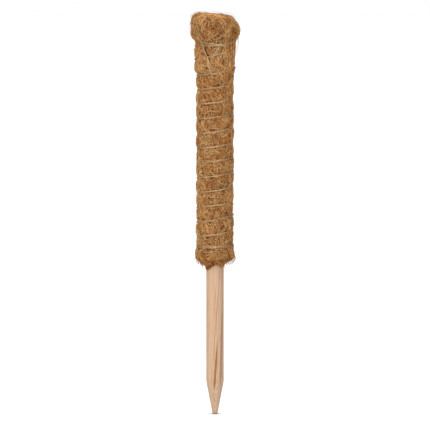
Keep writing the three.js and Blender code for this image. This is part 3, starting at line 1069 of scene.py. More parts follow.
def settle(piece: Object) -> None:
    """Lets a finished piece ride on the pole.

    Args:
        piece: the finished piece.
    """
    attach(piece, BODY)
    LOG.info("%s: %d faces", piece.name, len(piece.data.polygons))


def turned(name: str, outline: Array, steps: int) -> Object:
    """Turns an outline round the pole's axis, as on a lathe.

    Args:
        name: of the object.
        outline: radius and height of its points, closed or with both ends on the axis.
        steps: of the full turn.

    Returns:
        The object, closed and facing out.
    """
    bpy.ops.object.select_all(action="DESELECT")
    bpy.ops.mesh.primitive_plane_add(size=1.0, location=(0, 0, 0))
    made = bpy.context.object
    made.name = made.data.name = name
    bpy.ops.object.mode_set(mode="EDIT")
    bpy.ops.mesh.select_all(action="SELECT")
    bpy.ops.mesh.merge(type="CENTER")
    corners = np.stack((outline[:, 0], np.zeros(len(outline)), outline[:, 1]), axis=-1) * MM
    bpy.ops.transform.translate(value=tuple(corners[0]))
    for move in np.diff(corners, axis=0):
        bpy.ops.mesh.extrude_vertices_move(TRANSFORM_OT_translate={"value": tuple(move)})
    bpy.ops.mesh.select_all(action="SELECT")
    bpy.ops.mesh.spin(steps=steps, angle=FULL_TURN, center=(0, 0, 0), axis=(0, 0, 1))
    bpy.ops.mesh.select_all(action="SELECT")
    bpy.ops.mesh.remove_doubles(threshold=MERGE_GAP * MM)
    bpy.ops.mesh.normals_make_consistent(inside=False)
    bpy.ops.object.mode_set(mode="OBJECT")
    made.data.shade_smooth()
    return made


def places_of(piece: Object) -> Array:
    """Reads where a piece's points are.

    Args:
        piece: with its place in its mesh.

    Returns:
        The places in millimetres.
    """
    found = np.empty(len(piece.data.vertices) * 3, np.float32)
    piece.data.vertices.foreach_get("co", found)
    return found.reshape(-1, 3).astype(float) / MM


def move_to(piece: Object, places: Array) -> None:
    """Puts a piece's points at places given in millimetres."""
    piece.data.vertices.foreach_set("co", (places * MM).astype(np.float32).ravel())
    piece.data.update()


@dataclass
class Stake:
    """The turned stake with its blunt point."""

    sizes: PoleSizes
    tip_radius: float = 3.0
    tip_length: float = 41.0
    tip_inset: float = 1.0
    tip_edge: float = 0.15
    tip_edge_height: float = 0.4
    cone_start: float = 1.5
    shoulder: float = 4.0
    shoulder_points: int = 9
    chamfer: float = 1.0
    ring_step: float = 3.0
    sides: int = 96
    wander: float = 0.12
    waves: tuple[Wave, ...] = (Wave(1.0, 3, 37.0), Wave(1.0, 2, -23.0, 1.0), Wave(1.0, 5, 15.0))

    def outline(self) -> Array:
        """Draws half of the stake's length section.

        Returns:
            Radius and height of its points, from the tip's middle to the top's middle.
        """
        radius, tip, top = self.sizes.stake_radius, self.sizes.tip_z, self.sizes.stake_top_z
        slope = (radius - self.tip_radius) / self.tip_length
        corner_z = tip + self.tip_length
        low_z, high_z = corner_z - self.shoulder, corner_z + self.shoulder
        cone_z = np.arange(tip + self.cone_start, low_z, self.ring_step)
        cone = np.stack((self.tip_radius + slope * (cone_z - tip), cone_z), axis=-1)
        share = np.linspace(0.0, 1.0, self.shoulder_points)[:, None]
        before = (1 - share) ** 2 * (radius - slope * self.shoulder, low_z)
        middle = 2 * share * (1 - share) * (radius, corner_z)
        bend = before + middle + share**2 * (radius, high_z)
        side_z = np.arange(high_z + self.ring_step, top - self.chamfer, self.ring_step)
        side = np.stack((np.full(len(side_z), radius), side_z), axis=-1)
        foot = (
            (0.0, tip),
            (self.tip_radius - self.tip_inset, tip),
            (self.tip_radius - self.tip_edge, tip + self.tip_edge_height),
        )
        end = ((radius, top - self.chamfer), (radius - self.chamfer, top), (0.0, top))
        return np.concatenate((foot, cone, bend, side, end))

    def build(self) -> None:
        """Turns the stake and gives its side the slight unevenness of sanded wood."""
        made = turned("turned_stake", self.outline(), self.sides)
        places = places_of(made)
        angle, z = angle_of(places), places[:, 2]
        uneven = sum(wave.at(angle, z) for wave in self.waves)
        most = len(self.waves)
        shrink = 1.0 - self.wander * (uneven + most) / (2 * most) / self.sizes.stake_radius
        places[:, :2] *= shrink[:, None]
        move_to(made, places)
        dress(made, TurnedWood().make())
        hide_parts("wooden_stake")
        settle(made)


@dataclass(frozen=True)
class FibreLayer:
    """One layer of loose fibres: how many to a square centimetre, and what they are like."""

    density: float
    length: Limits
    thickness: Limits
    lift: Limits
    tone: Limits
    curl: float
    bridging: float = 0.0
    bridge_dip: float = 0.3
    lowest: float = 0.0
    points: int = 7


class Layers(Enum):
    """Layers of the coir from the mat outwards, of its coarser fibres, since finer ones wouldn't show."""

    # DEEP keeps to the darkest tones: partly the coir's own husk-brown fibres, partly painted shade in the
    # gaps above it.
    DEEP = FibreLayer(8.0, (10.0, 22.0), (0.42, 0.64), (-2.0, -1.2), (0.0, 0.42), 0.045)
    MIDDLE = FibreLayer(21.0, (7.0, 18.0), (0.32, 0.50), (-1.2, -0.2), (0.05, 0.92), 0.05)
    TOP = FibreLayer(21.0, (7.0, 20.0), (0.28, 0.44), (-0.7, 0.4), (0.12, 1.08), 0.045, 0.2)
    LONG = FibreLayer(1.5, (26.0, 55.0), (0.28, 0.44), (-0.2, 0.6), (0.6, 1.0), 0.014, 0.5, 0.3, 26.0, 13)


@dataclass(frozen=True)
class FibreShares:
    """Shares of their layer's values that fibres have somewhere."""

    length: Array | float = 1.0
    thickness: float = 1.0
    contrast: float = 1.0
    bridging: float = 1.0


@dataclass(frozen=True)
class LooseFibre:
    """A single loose fibre through three places, each an angle in degrees, a height and a radius."""

    root: Point
    middle: Point
    tip: Point
    thickness: float
    tone: float


class LooseEnd(Enum):
    """Single fibres that stand out against the white."""

    LEFT_STUB = LooseFibre((-70, 14, 22.8), (-74, 12.6, 25.6), (-76, 11.2, 27.6), 1.1, 0.22)
    LEFT_DARK_STUB = LooseFibre((-60, 9, 18.5), (-62, 7, 20.6), (-60, 5.2, 20.4), 0.9, 0.1)
    LEFT_HOOK = LooseFibre((-55, 7, 17.5), (-56, 1, 19.8), (-52, -2.5, 19.8), 0.5, 0.4)
    LEFT_HOOK_END = LooseFibre((-52, -2.5, 19.8), (-48, -1.5, 19.2), (-45, 0.8, 18), 0.45, 0.5)
    LEFT_HAIR = LooseFibre((-55, 3, 18.4), (-57, -7, 20.4), (-57.5, -13.5, 20.2), 0.28, 0.8)
    RIGHT_STRAND = LooseFibre((42, 5, 16), (44, -2.5, 21), (50, -7.2, 23.6), 0.7, 0.5)
    RIGHT_CURL = LooseFibre((40, 3, 14.5), (38, -5, 20.4), (42, -8.5, 21.6), 0.4, 0.8)
    RIGHT_LOCK = LooseFibre((80, 17, 23.4), (78, 11, 25.4), (58, 5.2, 23.8), 1.5, 0.2)
    RIGHT_LOCK_EDGE = LooseFibre((82, 18, 23.6), (76, 12, 26), (64, 7, 24.8), 1.2, 0.4)
    RIGHT_LOCK_INNER = LooseFibre((74, 16, 23), (70, 10.5, 24.4), (56, 6, 22.8), 1.0, 0.55)
    RIGHT_HOOK = LooseFibre((80, 20, 24), (84, 17.5, 26.8), (88, 15.5, 29.2), 0.45, 0.12)
    TIE_HOOK = LooseFibre((85, 44, 23), (85, 41, 27.2), (86, 38.5, 26), 0.5, 0.35)
    HEAD_LEFT_ARC = LooseFibre((-88, 308, 29), (-90, 301, 34.4), (-88, 291, 30.5), 0.38, 0.75)
    HEAD_LEFT_STRAND = LooseFibre((-85, 294, 30), (-88, 284, 29.8), (-84, 273, 30), 0.4, 0.7)
    HEAD_RIGHT_ARM = LooseFibre((80, 306, 27.5), (84, 304.5, 32.6), (88, 297, 35.8), 0.38, 0.7)
    HEAD_RIGHT_STRAND = LooseFibre((86, 293, 30), (88, 287, 32.8), (84, 270, 29), 0.5, 0.75)
    NECK_LOCK = LooseFibre((80, 288, 28.6), (84, 280, 28.4), (80, 268, 26), 0.8, 0.25)
    NECK_LOCK_EDGE = LooseFibre((83, 290, 29.5), (86, 279, 29.4), (82, 266, 26.4), 0.6, 0.5)
    TOP_ARC = LooseFibre((30, 318, 8), (60, 320, 15), (75, 317.5, 22), 0.38, 0.85)
    TOP_RIGHT_ARC = LooseFibre((70, 316, 19), (78, 314.6, 25), (84, 307, 29), 0.38, 0.8)
    TOP_LEFT_ARC = LooseFibre((-85, 311, 30), (-80, 319, 26.5), (-70, 320.5, 20), 0.34, 0.8)


@dataclass
class FibreLayout:
    """How loose fibres lie on the coir: seeded starts, headings and ways over its surface."""

    sizes: PoleSizes
    winding: Winding
    surface: CoirSurface
    wobble: float = 1.4
    drift: tuple[Wave, ...] = (Wave(1.3, 2, 17.0), Wave(1.1, 3, -23.0), Wave(1.0, 5, 31.0))
    arch_power: float = 0.6
    ripple: float = 0.22
    ripple_waves: Limits = (4.0, 14.0)
    ripple_phases: Limits = (0.0, 6.3)
    end_thickness: float = 0.4
    taper_power: float = 0.5
    patch_size: float = 9.0
    patch_tone: float = 0.05
    patch_sway: float = 2.0
    patch_bends: int = 3
    patch_wave: Wave = Wave(1.0, 5, 13.0)
    dark_hem_tone: float = 0.26
    dark_hem_angle: float = math.radians(-42)
    dark_hem_height: float = 9.0
    past_hem: float = 0.9
    least_past_hem: float = 0.2
    off_wood: float = 0.2
    seed: int = 11
    draw: Generator = field(init=False)

    def __post_init__(self) -> None:
        """Starts the seeded draws."""
        self.draw = np.random.default_rng(self.seed)

    def between(self, limits: Limits, count: int) -> Array:
        """Even random values between two limits."""
        return self.draw.uniform(*limits, count)

    def starts(self, count: int, low: float, high: float) -> Array:
        """Draws even places on the coir between two heights.

        Args:
            count: of places.
            low: lower height.
            high: upper height.

        Returns:
            The places.
        """
        weight = self.surface.area * ((self.surface.z >= low) & (self.surface.z < high))
        station = self.draw.choice(len(weight), count, p=weight / weight.sum())
        angle = self.between(ALL_ROUND, count)
        return around(self.surface.radius[station], angle, self.surface.z[station])

    def headings(self, places: Array, upright: Array | float) -> Array:
        """Draws headings that drift together from place to place.

        Args:
            places: where the fibres start.
            upright: 0 for any way, towards 1 for straight up and down.

        Returns:
            Angles from straight down.
        """
        angle, z = angle_of(places), places[:, 2]
        drift = sum(wave.at(angle, z) for wave in self.drift)
        turned_round = math.pi * self.draw.integers(0, 2, len(places))
        return (1.0 - upright) * (drift + self.draw.normal(0.0, 1.0, len(places))) + turned_round

    def walk(
        self, places: Array, heading: Array, length: Array, curl: float, points: int
    ) -> tuple[Array, Array]:
        """Lets fibres wander over the coir from their starts.

        Args:
            places: their starts.
            heading: of each, from straight down.
            length: of each.
            curl: turn to each millimetre, as a standard deviation.
            points: of each fibre.

        Returns:
            The points of each fibre on the plain outline, and the normals there.
        """
        count = len(places)
        step = (length / (points - 1))[:, None]
        bend = self.draw.normal(0.0, curl, (count, 1))
        wobble = self.draw.normal(0.0, curl * self.wobble, (count, points))
        place, normal, down = self.surface.foot(places)
        ahead = np.cos(heading)[:, None] * down + np.sin(heading)[:, None] * np.cross(normal, down)
        path, normals = [place], [normal]
        for number in range(1, points):
            turn = step * (bend + wobble[:, number, None])
            ahead = np.cos(turn) * ahead + np.sin(turn) * np.cross(normal, ahead)
            place, normal, _ = self.surface.foot(place + step * ahead)
            ahead = unit(ahead - normal * np.sum(ahead * normal, axis=1, keepdims=True))
            path.append(place)
            normals.append(normal)
        return np.stack(path, axis=1), np.stack(normals, axis=1)

    def laid(self, places: Array, heading: Array, layer: FibreLayer, shares: FibreShares) -> Strands:
        """Lays one layer's fibres on the coir.

        Args:
            places: where they start.
            heading: of each, from straight down.
            layer: what they are like.
            shares: of the layer's values that they have here.

        Returns:
            The fibres.
        """
        count = len(places)
        lengths = shares.length * self.between(layer.length, count)
        path, normals = self.walk(places, heading, lengths, layer.curl, layer.points)
        across = self.surface.crosses_crease(path)
        path, normals = self.cut_at_hem(path, normals)
        share = np.linspace(0.0, 1.0, layer.points)
        arch = np.sin(math.pi * share) ** self.arch_power
        top = self.between(layer.lift, count)[:, None]
        waves = self.between(self.ripple_waves, count)[:, None]
        phases = self.between(self.ripple_phases, count)[:, None]
        ripple = self.ripple * np.sin(share * waves + phases)
        lift = layer.lift[0] + (top - layer.lift[0]) * arch + ripple
        bridges = self.draw.random(count) < layer.bridging * shares.bridging
        follow = np.where(bridges, layer.bridge_dip, 1.0)[:, None]
        path = self.off_stake(path + normals * (lift + self.surface.height(path, follow))[..., None])
        bulge = np.sin(math.pi * share) ** self.taper_power
        taper = self.end_thickness + (1.0 - self.end_thickness) * bulge
        radii = shares.thickness * self.between(layer.thickness, count)[:, None] / 2 * taper
        usual = sum(layer.tone) / 2
        tones = usual + shares.contrast * (self.between(layer.tone, count) - usual)
        tones = np.clip(tones + self.patches(places), 0.0, 1.0)
        return Strands(self.surface.skewed(path), normals, radii, tones).part(~across)

    def patches(self, places: Array) -> Array:
        """Finds how much paler the coir is in patches, and how much darker on one side of the hem.

        Args:
            places: on the coir.

        Returns:
            What is added to the tones.
        """
        angle, z = angle_of(places), places[:, 2]
        sway = self.patch_sway * np.sin(self.patch_bends * angle)
        patch = np.sin(z / self.patch_size + sway) * self.patch_wave.at(angle, z)
        hem = self.dark_hem_tone * self.dark_side(angle) * smooth(1.0 - z / self.dark_hem_height)
        return self.patch_tone * patch - hem

    def dark_side(self, angle: Array) -> Array:
        """How near each angle is to the side where the hem is dark."""
        return np.maximum(np.cos(angle - self.dark_hem_angle), 0.0) ** 2

    def off_stake(self, path: Array) -> Array:
        """Moves low points that would be in the stake out onto its side.

        Args:
            path: points of each fibre.

        Returns:
            The moved points.
        """
        reach = np.hypot(path[..., 0], path[..., 1])
        wood = self.sizes.stake_radius + self.off_wood
        least = np.where(path[..., 2] < self.surface.flare_height, wood, 0.0)
        moved = path.copy()
        moved[..., :2] *= np.maximum(least / np.maximum(reach, self.off_wood), 1.0)[..., None]
        return moved

    def cut_at_hem(self, path: Array, normals: Array) -> tuple[Array, Array]:
        """Cuts fibres off raggedly a little below the hem.

        Args:
            path: points of each fibre, starting above the hem.
            normals: at the points.

        Returns:
            The points and the normals over what is left of each fibre.
        """
        rows, points = np.arange(len(path)), path.shape[1]
        last = points - 1
        lowest = -self.least_past_hem - self.draw.exponential(self.past_hem, len(path))
        below = path[..., 2] < lowest[:, None]
        cut = below.any(axis=1)
        after = np.where(cut, below.argmax(axis=1), last)
        high, low = path[rows, after - 1, 2], path[rows, after, 2]
        drop = np.where(cut, high - low, 1.0)
        end = after - 1 + np.where(cut, (high - lowest) / drop, 1.0)
        place = end[:, None] * np.linspace(0.0, 1.0, points)
        index = np.minimum(place.astype(int), last - 1)
        share = (place - index)[..., None]
        row = rows[:, None]
        pairs = [(values[row, index], values[row, index + 1]) for values in (path, normals)]
        left_path, left_normals = (before + (ahead - before) * share for before, ahead in pairs)
        return left_path, unit(left_normals)


@dataclass(frozen=True)
class CreaseSides:
    """Fibres along both sides of the crease beside the twine's tail."""

    count: int = 110
    right: Limits = (1.2, 6.0)
    left: Limits = (-5.0, 0.2)
    heading: float = math.radians(26)
    swing: float = 0.22
    shares: FibreShares = FibreShares(length=0.6)

    def build(self, layout: FibreLayout) -> Strands:
        """Lays the fibres.

        Args:
            layout: of the coir.

        Returns:
            The fibres.
        """
        surface, top_z = layout.surface, layout.winding.top_tie_z
        low_z = top_z - surface.crease_share * (top_z - layout.sizes.skirt_z)
        z = layout.between((low_z, top_z), self.count)
        right, left = layout.between(self.right, self.count), layout.between(self.left, self.count)
        aside = np.where(np.arange(self.count) % 2, right, left)
        angle = layout.winding.tail_angle(z) + (surface.flap_past_tail + aside) / surface.skirt_radius
        places = around(surface.skirt_radius, angle, z)
        heading = layout.draw.normal(self.heading, self.swing, self.count)
        return layout.laid(places, heading, Layers.TOP.value, self.shares)


@dataclass(frozen=True)
class Hank:
    """Long straw fibres that hang from the head's right side over the top tie, most of them in one bundle."""

    close_count: int = 13
    close_degrees: Limits = (29.0, 3.5)
    wide_count: int = 10
    wide_degrees: Limits = (60.0, 15.0)
    height: Limits = (272.0, 306.0)
    swing: float = 0.13
    layer: FibreLayer = FibreLayer(
        0.0, (34.0, 66.0), (0.3, 0.46), (-0.2, 0.7), (0.5, 0.95), 0.014, bridging=1.0, points=13
    )

    def build(self, layout: FibreLayout) -> Strands:
        """Lays the fibres.

        Args:
            layout: of the coir.

        Returns:
            The fibres.
        """
        count = self.close_count + self.wide_count
        close = layout.draw.normal(*self.close_degrees, self.close_count)
        wide = layout.draw.normal(*self.wide_degrees, self.wide_count)
        z = layout.between(self.height, count)
        places = around(layout.sizes.head_radius, np.radians(np.concatenate((close, wide))), z)
        heading = layout.draw.normal(0.0, self.swing, count)
        return layout.laid(places, heading, self.layer, FibreShares())


@dataclass(frozen=True)
class StrayHairs:
    """Fine hairs that arch off the coir and show against the light."""

    head_count: int = 75
    low_count: int = 80
    lowest: float = 2.0
    upright: float = 0.4
    length: Limits = (12.0, 40.0)
    curl: float = 0.045
    head_away: Limits = (0.8, 3.4)
    low_away: Limits = (0.6, 3.0)
    free_share: float = 0.5
    free_power: float = 1.5
    thickness: Limits = (0.26, 0.44)
    taper: float = 0.5
    tone: Limits = (0.15, 0.7)

    def build(self, layout: FibreLayout) -> Strands:
        """Lays the fibres.

        Args:
            layout: of the coir.

        Returns:
            The fibres.
        """
        surface, neck = layout.surface, layout.winding.top_tie_z
        count = self.head_count + self.low_count
        head = layout.starts(self.head_count, neck, surface.top_z)
        places = np.concatenate((head, layout.starts(self.low_count, self.lowest, neck)))
        heading = layout.headings(places, self.upright)
        lengths = layout.between(self.length, count)
        path, normals = layout.walk(places, heading, lengths, self.curl, LOOSE_POINTS)
        above_hem = path[..., 2].min(axis=1) > 0.0
        share = LOOSE_SHARE
        head_away = layout.between(self.head_away, self.head_count)
        away = np.concatenate((head_away, layout.between(self.low_away, self.low_count)))[:, None]
        free = layout.draw.random(count)[:, None] < self.free_share
        arch = np.where(free, share**self.free_power, np.sin(math.pi * share))
        path = path + normals * (away * arch + surface.height(path) * (1 - share))[..., None]
        radii = layout.between(self.thickness, count)[:, None] / 2 * (1.0 - self.taper * share)
        hairs = Strands(surface.skewed(path), normals, radii, layout.between(self.tone, count))
        return hairs.part(above_hem)


@dataclass(frozen=True)
class Bristle:
    """Short ends that stand off the coir all over and roughen its outline."""

    count: int = 1100
    lowest: float = 3.0
    upright: float = 0.2
    length: Limits = (3.0, 9.0)
    curl: float = 0.06
    away: Limits = (0.2, 1.7)
    root: float = 0.8
    rise_power: float = 1.5
    thickness: Limits = (0.26, 0.46)
    taper: float = 0.4
    tone: Limits = (0.0, 0.5)

    def build(self, layout: FibreLayout) -> Strands:
        """Lays the fibres.

        Args:
            layout: of the coir.

        Returns:
            The fibres.
        """
        surface, count = layout.surface, self.count
        places = layout.starts(count, self.lowest, surface.top_z)
        heading, lengths = layout.headings(places, self.upright), layout.between(self.length, count)
        path, normals = layout.walk(places, heading, lengths, self.curl, LOOSE_POINTS)
        share = LOOSE_SHARE
        away = layout.between(self.away, count)[:, None]
        rise = (away + self.root) * share**self.rise_power - self.root
        path = path + normals * (rise + surface.height(path))[..., None]
        radii = layout.between(self.thickness, count)[:, None] / 2 * (1.0 - self.taper * share)
        return Strands(surface.skewed(path), normals, radii, layout.between(self.tone, count))


@dataclass(frozen=True)
class HemEnds:
    """Short ends that close the hem against the stake."""

    count: int = 700
    start: Limits = (2.0, 9.0)
    lift: Limits = (-0.3, 0.5)
    swing: float = 0.2
    thickness: Limits = (0.32, 0.56)
    taper: float = 0.4
    tone: Limits = (0.25, 0.9)
    dark_tone: float = 0.3

    def build(self, layout: FibreLayout) -> Strands:
        """Lays the fibres.

        Args:
            layout: of the coir.

        Returns:
            The fibres.
        """
        surface, count = layout.surface, self.count
        angle, start_z = layout.between(ALL_ROUND, count), layout.between(self.start, count)
        end_z = -np.abs(layout.draw.normal(0.0, layout.past_hem, count))
        share = LOOSE_SHARE
        z = start_z[:, None] + (end_z - start_z)[:, None] * share
        reach = surface.reach(z) + layout.between(self.lift, count)[:, None]
        aside = layout.draw.normal(0.0, self.swing, count)[:, None] * share
        path = layout.off_stake(around(reach, angle[:, None] + aside, z))
        radii = layout.between(self.thickness, count)[:, None] / 2 * (1.0 - self.taper * share)
        tones = layout.between(self.tone, count) - self.dark_tone * layout.dark_side(angle)
        return Strands(surface.skewed(path), unit(path * LEVEL), radii, np.clip(tones, 0.0, 1.0))


@dataclass(frozen=True)
class FringeEnds:
    """Ragged ends that dangle below the flare or splay out from it."""

    count: int = 40
    height: Limits = (0.0, 13.0)
    near_radius: float = 19.0
    drop: Limits = (2.0, 9.0)
    out: Limits = (-2.0, 4.0)
    swing: float = 0.2
    bulge: Limits = (0.5, 3.0)
    middle_share: float = 0.45
    curl: float = 0.7
    curl_waves: Limits = (3.0, 7.0)
    curl_out: float = 0.4
    thickness: Limits = (0.4, 0.9)
    taper: float = 0.45
    tone: Limits = (0.48, 0.25)

    def build(self, layout: FibreLayout) -> Strands:
        """Lays the fibres.

        Args:
            layout: of the coir.

        Returns:
            The fibres.
        """
        count, least = self.count, layout.sizes.stake_radius + layout.off_wood
        angle, z = layout.between(ALL_ROUND, count), layout.between(self.height, count)
        starts, _, _ = layout.surface.foot(around(self.near_radius, angle, z))
        outward, sideways = around(1.0, angle, 0.0), around(1.0, angle + math.pi / 2, 0.0)
        reach, drop = np.hypot(starts[:, 0], starts[:, 1]), layout.between(self.drop, count)
        end_reach = np.maximum(reach + layout.between(self.out, count), least)
        swung = angle + layout.draw.normal(0.0, self.swing, count)
        ends = around(end_reach, swung, starts[:, 2] - drop)
        bulge = layout.between(self.bulge, count)[:, None]
        middle = starts + outward * bulge - UP * (drop * self.middle_share)[:, None]
        corners = np.stack((starts, middle, ends), axis=1)
        path = np.stack([curve_through(corner, LOOSE_POINTS) for corner in corners])
        share = LOOSE_SHARE
        height = layout.draw.normal(0.0, self.curl, count)[:, None]
        curl = (height * np.sin(share * layout.between(self.curl_waves, count)[:, None]))[..., None]
        path = path + sideways[:, None] * curl + outward[:, None] * np.abs(curl) * self.curl_out
        radii = layout.between(self.thickness, count)[:, None] / 2 * (1.0 - self.taper * share)
        tones = np.clip(layout.draw.normal(*self.tone, count), 0.0, 1.0)
        normals = np.broadcast_to(outward[:, None], path.shape)
        return Strands(layout.surface.skewed(path), normals, radii, tones)


@dataclass(frozen=True)
class CutEnds:
    """Short cut ends that bristle from the flare's underside."""

    count: int = 170
    height: Limits = (0.5, 15.0)
    near_radius: float = 20.0
    out: Limits = (0.8, 3.4)
    aside: float = 2.0
    drop: Limits = (-0.5, 4.5)
    root: float = 2.0
    middle_share: float = 0.25
    bulge: Limits = (0.0, 1.2)
    thickness: Limits = (0.34, 0.74)
    end_thickness: float = 0.6
    tone: Limits = (0.1, 0.8)

    def build(self, layout: FibreLayout) -> Strands:
        """Lays the fibres.

        Args:
            layout: of the coir.

        Returns:
            The fibres.
        """
        count = self.count
        angle, z = layout.between(ALL_ROUND, count), layout.between(self.height, count)
        starts, normals, _ = layout.surface.foot(around(self.near_radius, angle, z))
        sideways = around(1.0, angle + math.pi / 2, 0.0)
        out = layout.between(self.out, count)[:, None]
        aside = sideways * layout.draw.normal(0.0, self.aside, count)[:, None]
        drop = layout.between(self.drop, count)[:, None] * UP
        root, end = starts - normals * self.root, starts + normals * out + aside - drop
        bulge = layout.between(self.bulge, count)[:, None]
        middle = starts + (aside - drop) * self.middle_share + normals * bulge
        corners = np.stack((root, middle, end), axis=1)
        path = np.stack([curve_through(corner, LOOSE_POINTS) for corner in corners])
        taper = np.linspace(1.0, self.end_thickness, LOOSE_POINTS)
        radii = layout.between(self.thickness, count)[:, None] / 2 * taper
        normals = np.broadcast_to(normals[:, None], path.shape)
        return Strands(layout.surface.skewed(path), normals, radii, layout.between(self.tone, count))


@dataclass
class Coir:
    """The coir mat, the cap and their loose fibres."""

    layout: FibreLayout
    bed_depth: float = 2.5
    bed_step: float = 2.4
    bed_sides: int = 120
    bed_clearance: float = 0.3
    bed_low_z: float = 4.0
    bed_foot_z: float = 3.5
    bed_below_cap: float = 1.0
    bed_near: float = 1.5
    under_cap: float = 20.0
    body_upright: float = 0.2
    body_shares: FibreShares = FibreShares(thickness=1.05, contrast=1.1)
    cap_upright: float = 0.5
    cap_density: float = 1.1
    cap_shares: FibreShares = FibreShares(0.85, 1.15, 1.35, 0.3)
    flare_upright: float = 0.45
    flare_shortening: float = 0.2
    flare_margin: float = 6.0
    flare_blend: float = 12.0
    flare_short_blend: float = 10.0
    crown_blend: float = 10.0
    fibre_sides: int = 3
    end_taper: float = 0.55
    most_triangles: int = 190000

    def bed_outline(self, low: float, high: float) -> Array:
        """Takes a stretch of the coir's outline, sunk by the loose fibres' depth.

        Args:
            low: height of the stretch's lower end.
            high: height of its upper end.

        Returns:
            Radius and height of its points from top to bottom.
        """
        surface = self.layout.surface
        every = max(1, round(self.bed_step / surface.sample_step))
        chosen = np.flatnonzero((surface.z >= low) & (surface.z <= high))[::every]
        line = np.stack((surface.radius, surface.z), axis=-1)
        return (line - self.bed_depth * surface.normal)[chosen]

    def build_beds(self, material: Material) -> None:
        """Turns the mat and the cap below the loose fibres, and draws them in under the twine.

        Args:
            material: of both.
        """
        sizes, surface = self.layout.sizes, self.layout.surface
        bore = sizes.stake_radius + self.bed_clearance
        below = self.bed_outline(self.bed_low_z, sizes.skirt_z - self.bed_below_cap)
        below[:, 0] = np.maximum(below[:, 0], bore + self.bed_clearance)
        top_z, reach = sizes.stake_top_z, self.under_cap
        top = ((bore, top_z), (reach, top_z), (reach, sizes.skirt_z))
        mat = np.concatenate((top, below, ((bore, self.bed_foot_z), (bore, top_z))))
        outer = self.bed_outline(sizes.skirt_z, surface.top_z)
        outer[0, 0] = 0.0
        hollow, ceiling = reach + self.bed_clearance, top_z + self.bed_clearance
        cap = np.concatenate((outer, ((hollow, sizes.skirt_z), (hollow, ceiling), (0.0, ceiling))))
        for name, outline, node in (("coir_mat", mat, "outer_coir_mat"), ("coir_cap", cap, "coir_top_cap")):
            made = turned(name, outline, self.bed_sides)
            places = places_of(made)
            feet, normals, _ = surface.foot(places)
            near = np.linalg.norm(places - feet, axis=1) < self.bed_depth * self.bed_near
            places += normals * np.where(near, surface.height(feet), 0.0)[:, None]
            move_to(made, surface.skewed(places))
            dress(made, material)
            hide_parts(node)
            settle(made)

    def build_layers(self) -> dict[str, Strands]:
        """Lays all layers on the body and on the cap.

        Returns:
            The short and the long fibres of the body and of the cap.
        """
        layout, surface, sizes = self.layout, self.layout.surface, self.layout.sizes
        zones = (
            ("body", 0.0, sizes.skirt_z, self.body_upright, 1.0, self.body_shares),
            ("cap", sizes.skirt_z, surface.top_z, self.cap_upright, self.cap_density, self.cap_shares),
        )
        made = {}
        for name, low, high, upright, density, zone_shares in zones:
            inside = (surface.z >= low) & (surface.z < high)
            square_cm = surface.area[inside].sum() / SQUARE_CM
            groups = []
            for layer in Layers:
                count = round(square_cm * layer.value.density * density)
                places = layout.starts(count, max(low, layer.value.lowest), high)
                below = surface.flare_height + self.flare_margin - places[:, 2]
                lean = upright + self.flare_upright * smooth(below / self.flare_blend)
                lean = lean * smooth((sizes.crown_z - places[:, 2]) / self.crown_blend)
                heading = layout.headings(places, lean)
                shortening = self.flare_shortening * smooth(below / self.flare_short_blend)
                shares = replace(zone_shares, length=zone_shares.length * (1.0 - shortening))
                groups.append(layout.laid(places, heading, layer.value, shares))
            made[f"{name}_fibres"] = Strands.joined(groups[:-1])
            made[f"{name}_long_fibres"] = groups[-1]
        return made

    def build_loose_ends(self) -> Strands:
        """Draws the single loose fibres.

        Returns:
            The fibres.
        """
        fibres = [end.value for end in LooseEnd]
        corners = np.array([(fibre.root, fibre.middle, fibre.tip) for fibre in fibres])
        places = around(corners[..., 2], np.radians(corners[..., 0]), corners[..., 1])
        paths = np.stack([curve_through(place, LOOSE_POINTS) for place in places])
        taper = np.linspace(1.0, self.end_taper, LOOSE_POINTS)
        radii = np.array([fibre.thickness / 2 for fibre in fibres])[:, None] * taper
        return Strands(paths, unit(paths * LEVEL), radii, np.array([fibre.tone for fibre in fibres]))

    def build(self) -> None:
        """Makes the mat, the cap and every bundle of fibres."""
        layout = self.layout
        self.build_beds(CoirMatAndShade().make())
        fibre = CoirFibre(MatShading(layout.sizes.crown_z)).make()
        bundles = self.build_layers()
        added = {
            "cap_fibres": [CreaseSides()],
            "cap_long_fibres": [Hank()],
            "stray_hairs": [StrayHairs(), Bristle()],
            "loose_ends": [HemEnds(), FringeEnds(), CutEnds()],
        }
        for name, bunches in added.items():
            laid = [bundles[name]] if name in bundles else []
            bundles[name] = Strands.joined(laid + [bunch.build(layout) for bunch in bunches])
        bundles["loose_ends"] = Strands.joined([bundles["loose_ends"], self.build_loose_ends()])
        for name, strands in bundles.items():
            triangles = 2 * self.fibre_sides * (strands.tones.shape[1] - 1) + 2 * (self.fibre_sides - 2)
            pieces = math.ceil(len(strands.tones) * triangles / self.most_triangles)
            for number in range(pieces):
                part = strands.part(slice(number, None, pieces))
                columns = math.ceil(math.sqrt(len(part.tones)))
                made = part.to_object(f"{name}_{number + 1}", self.fibre_sides, columns)
                dress(made, fibre)
                settle(made)


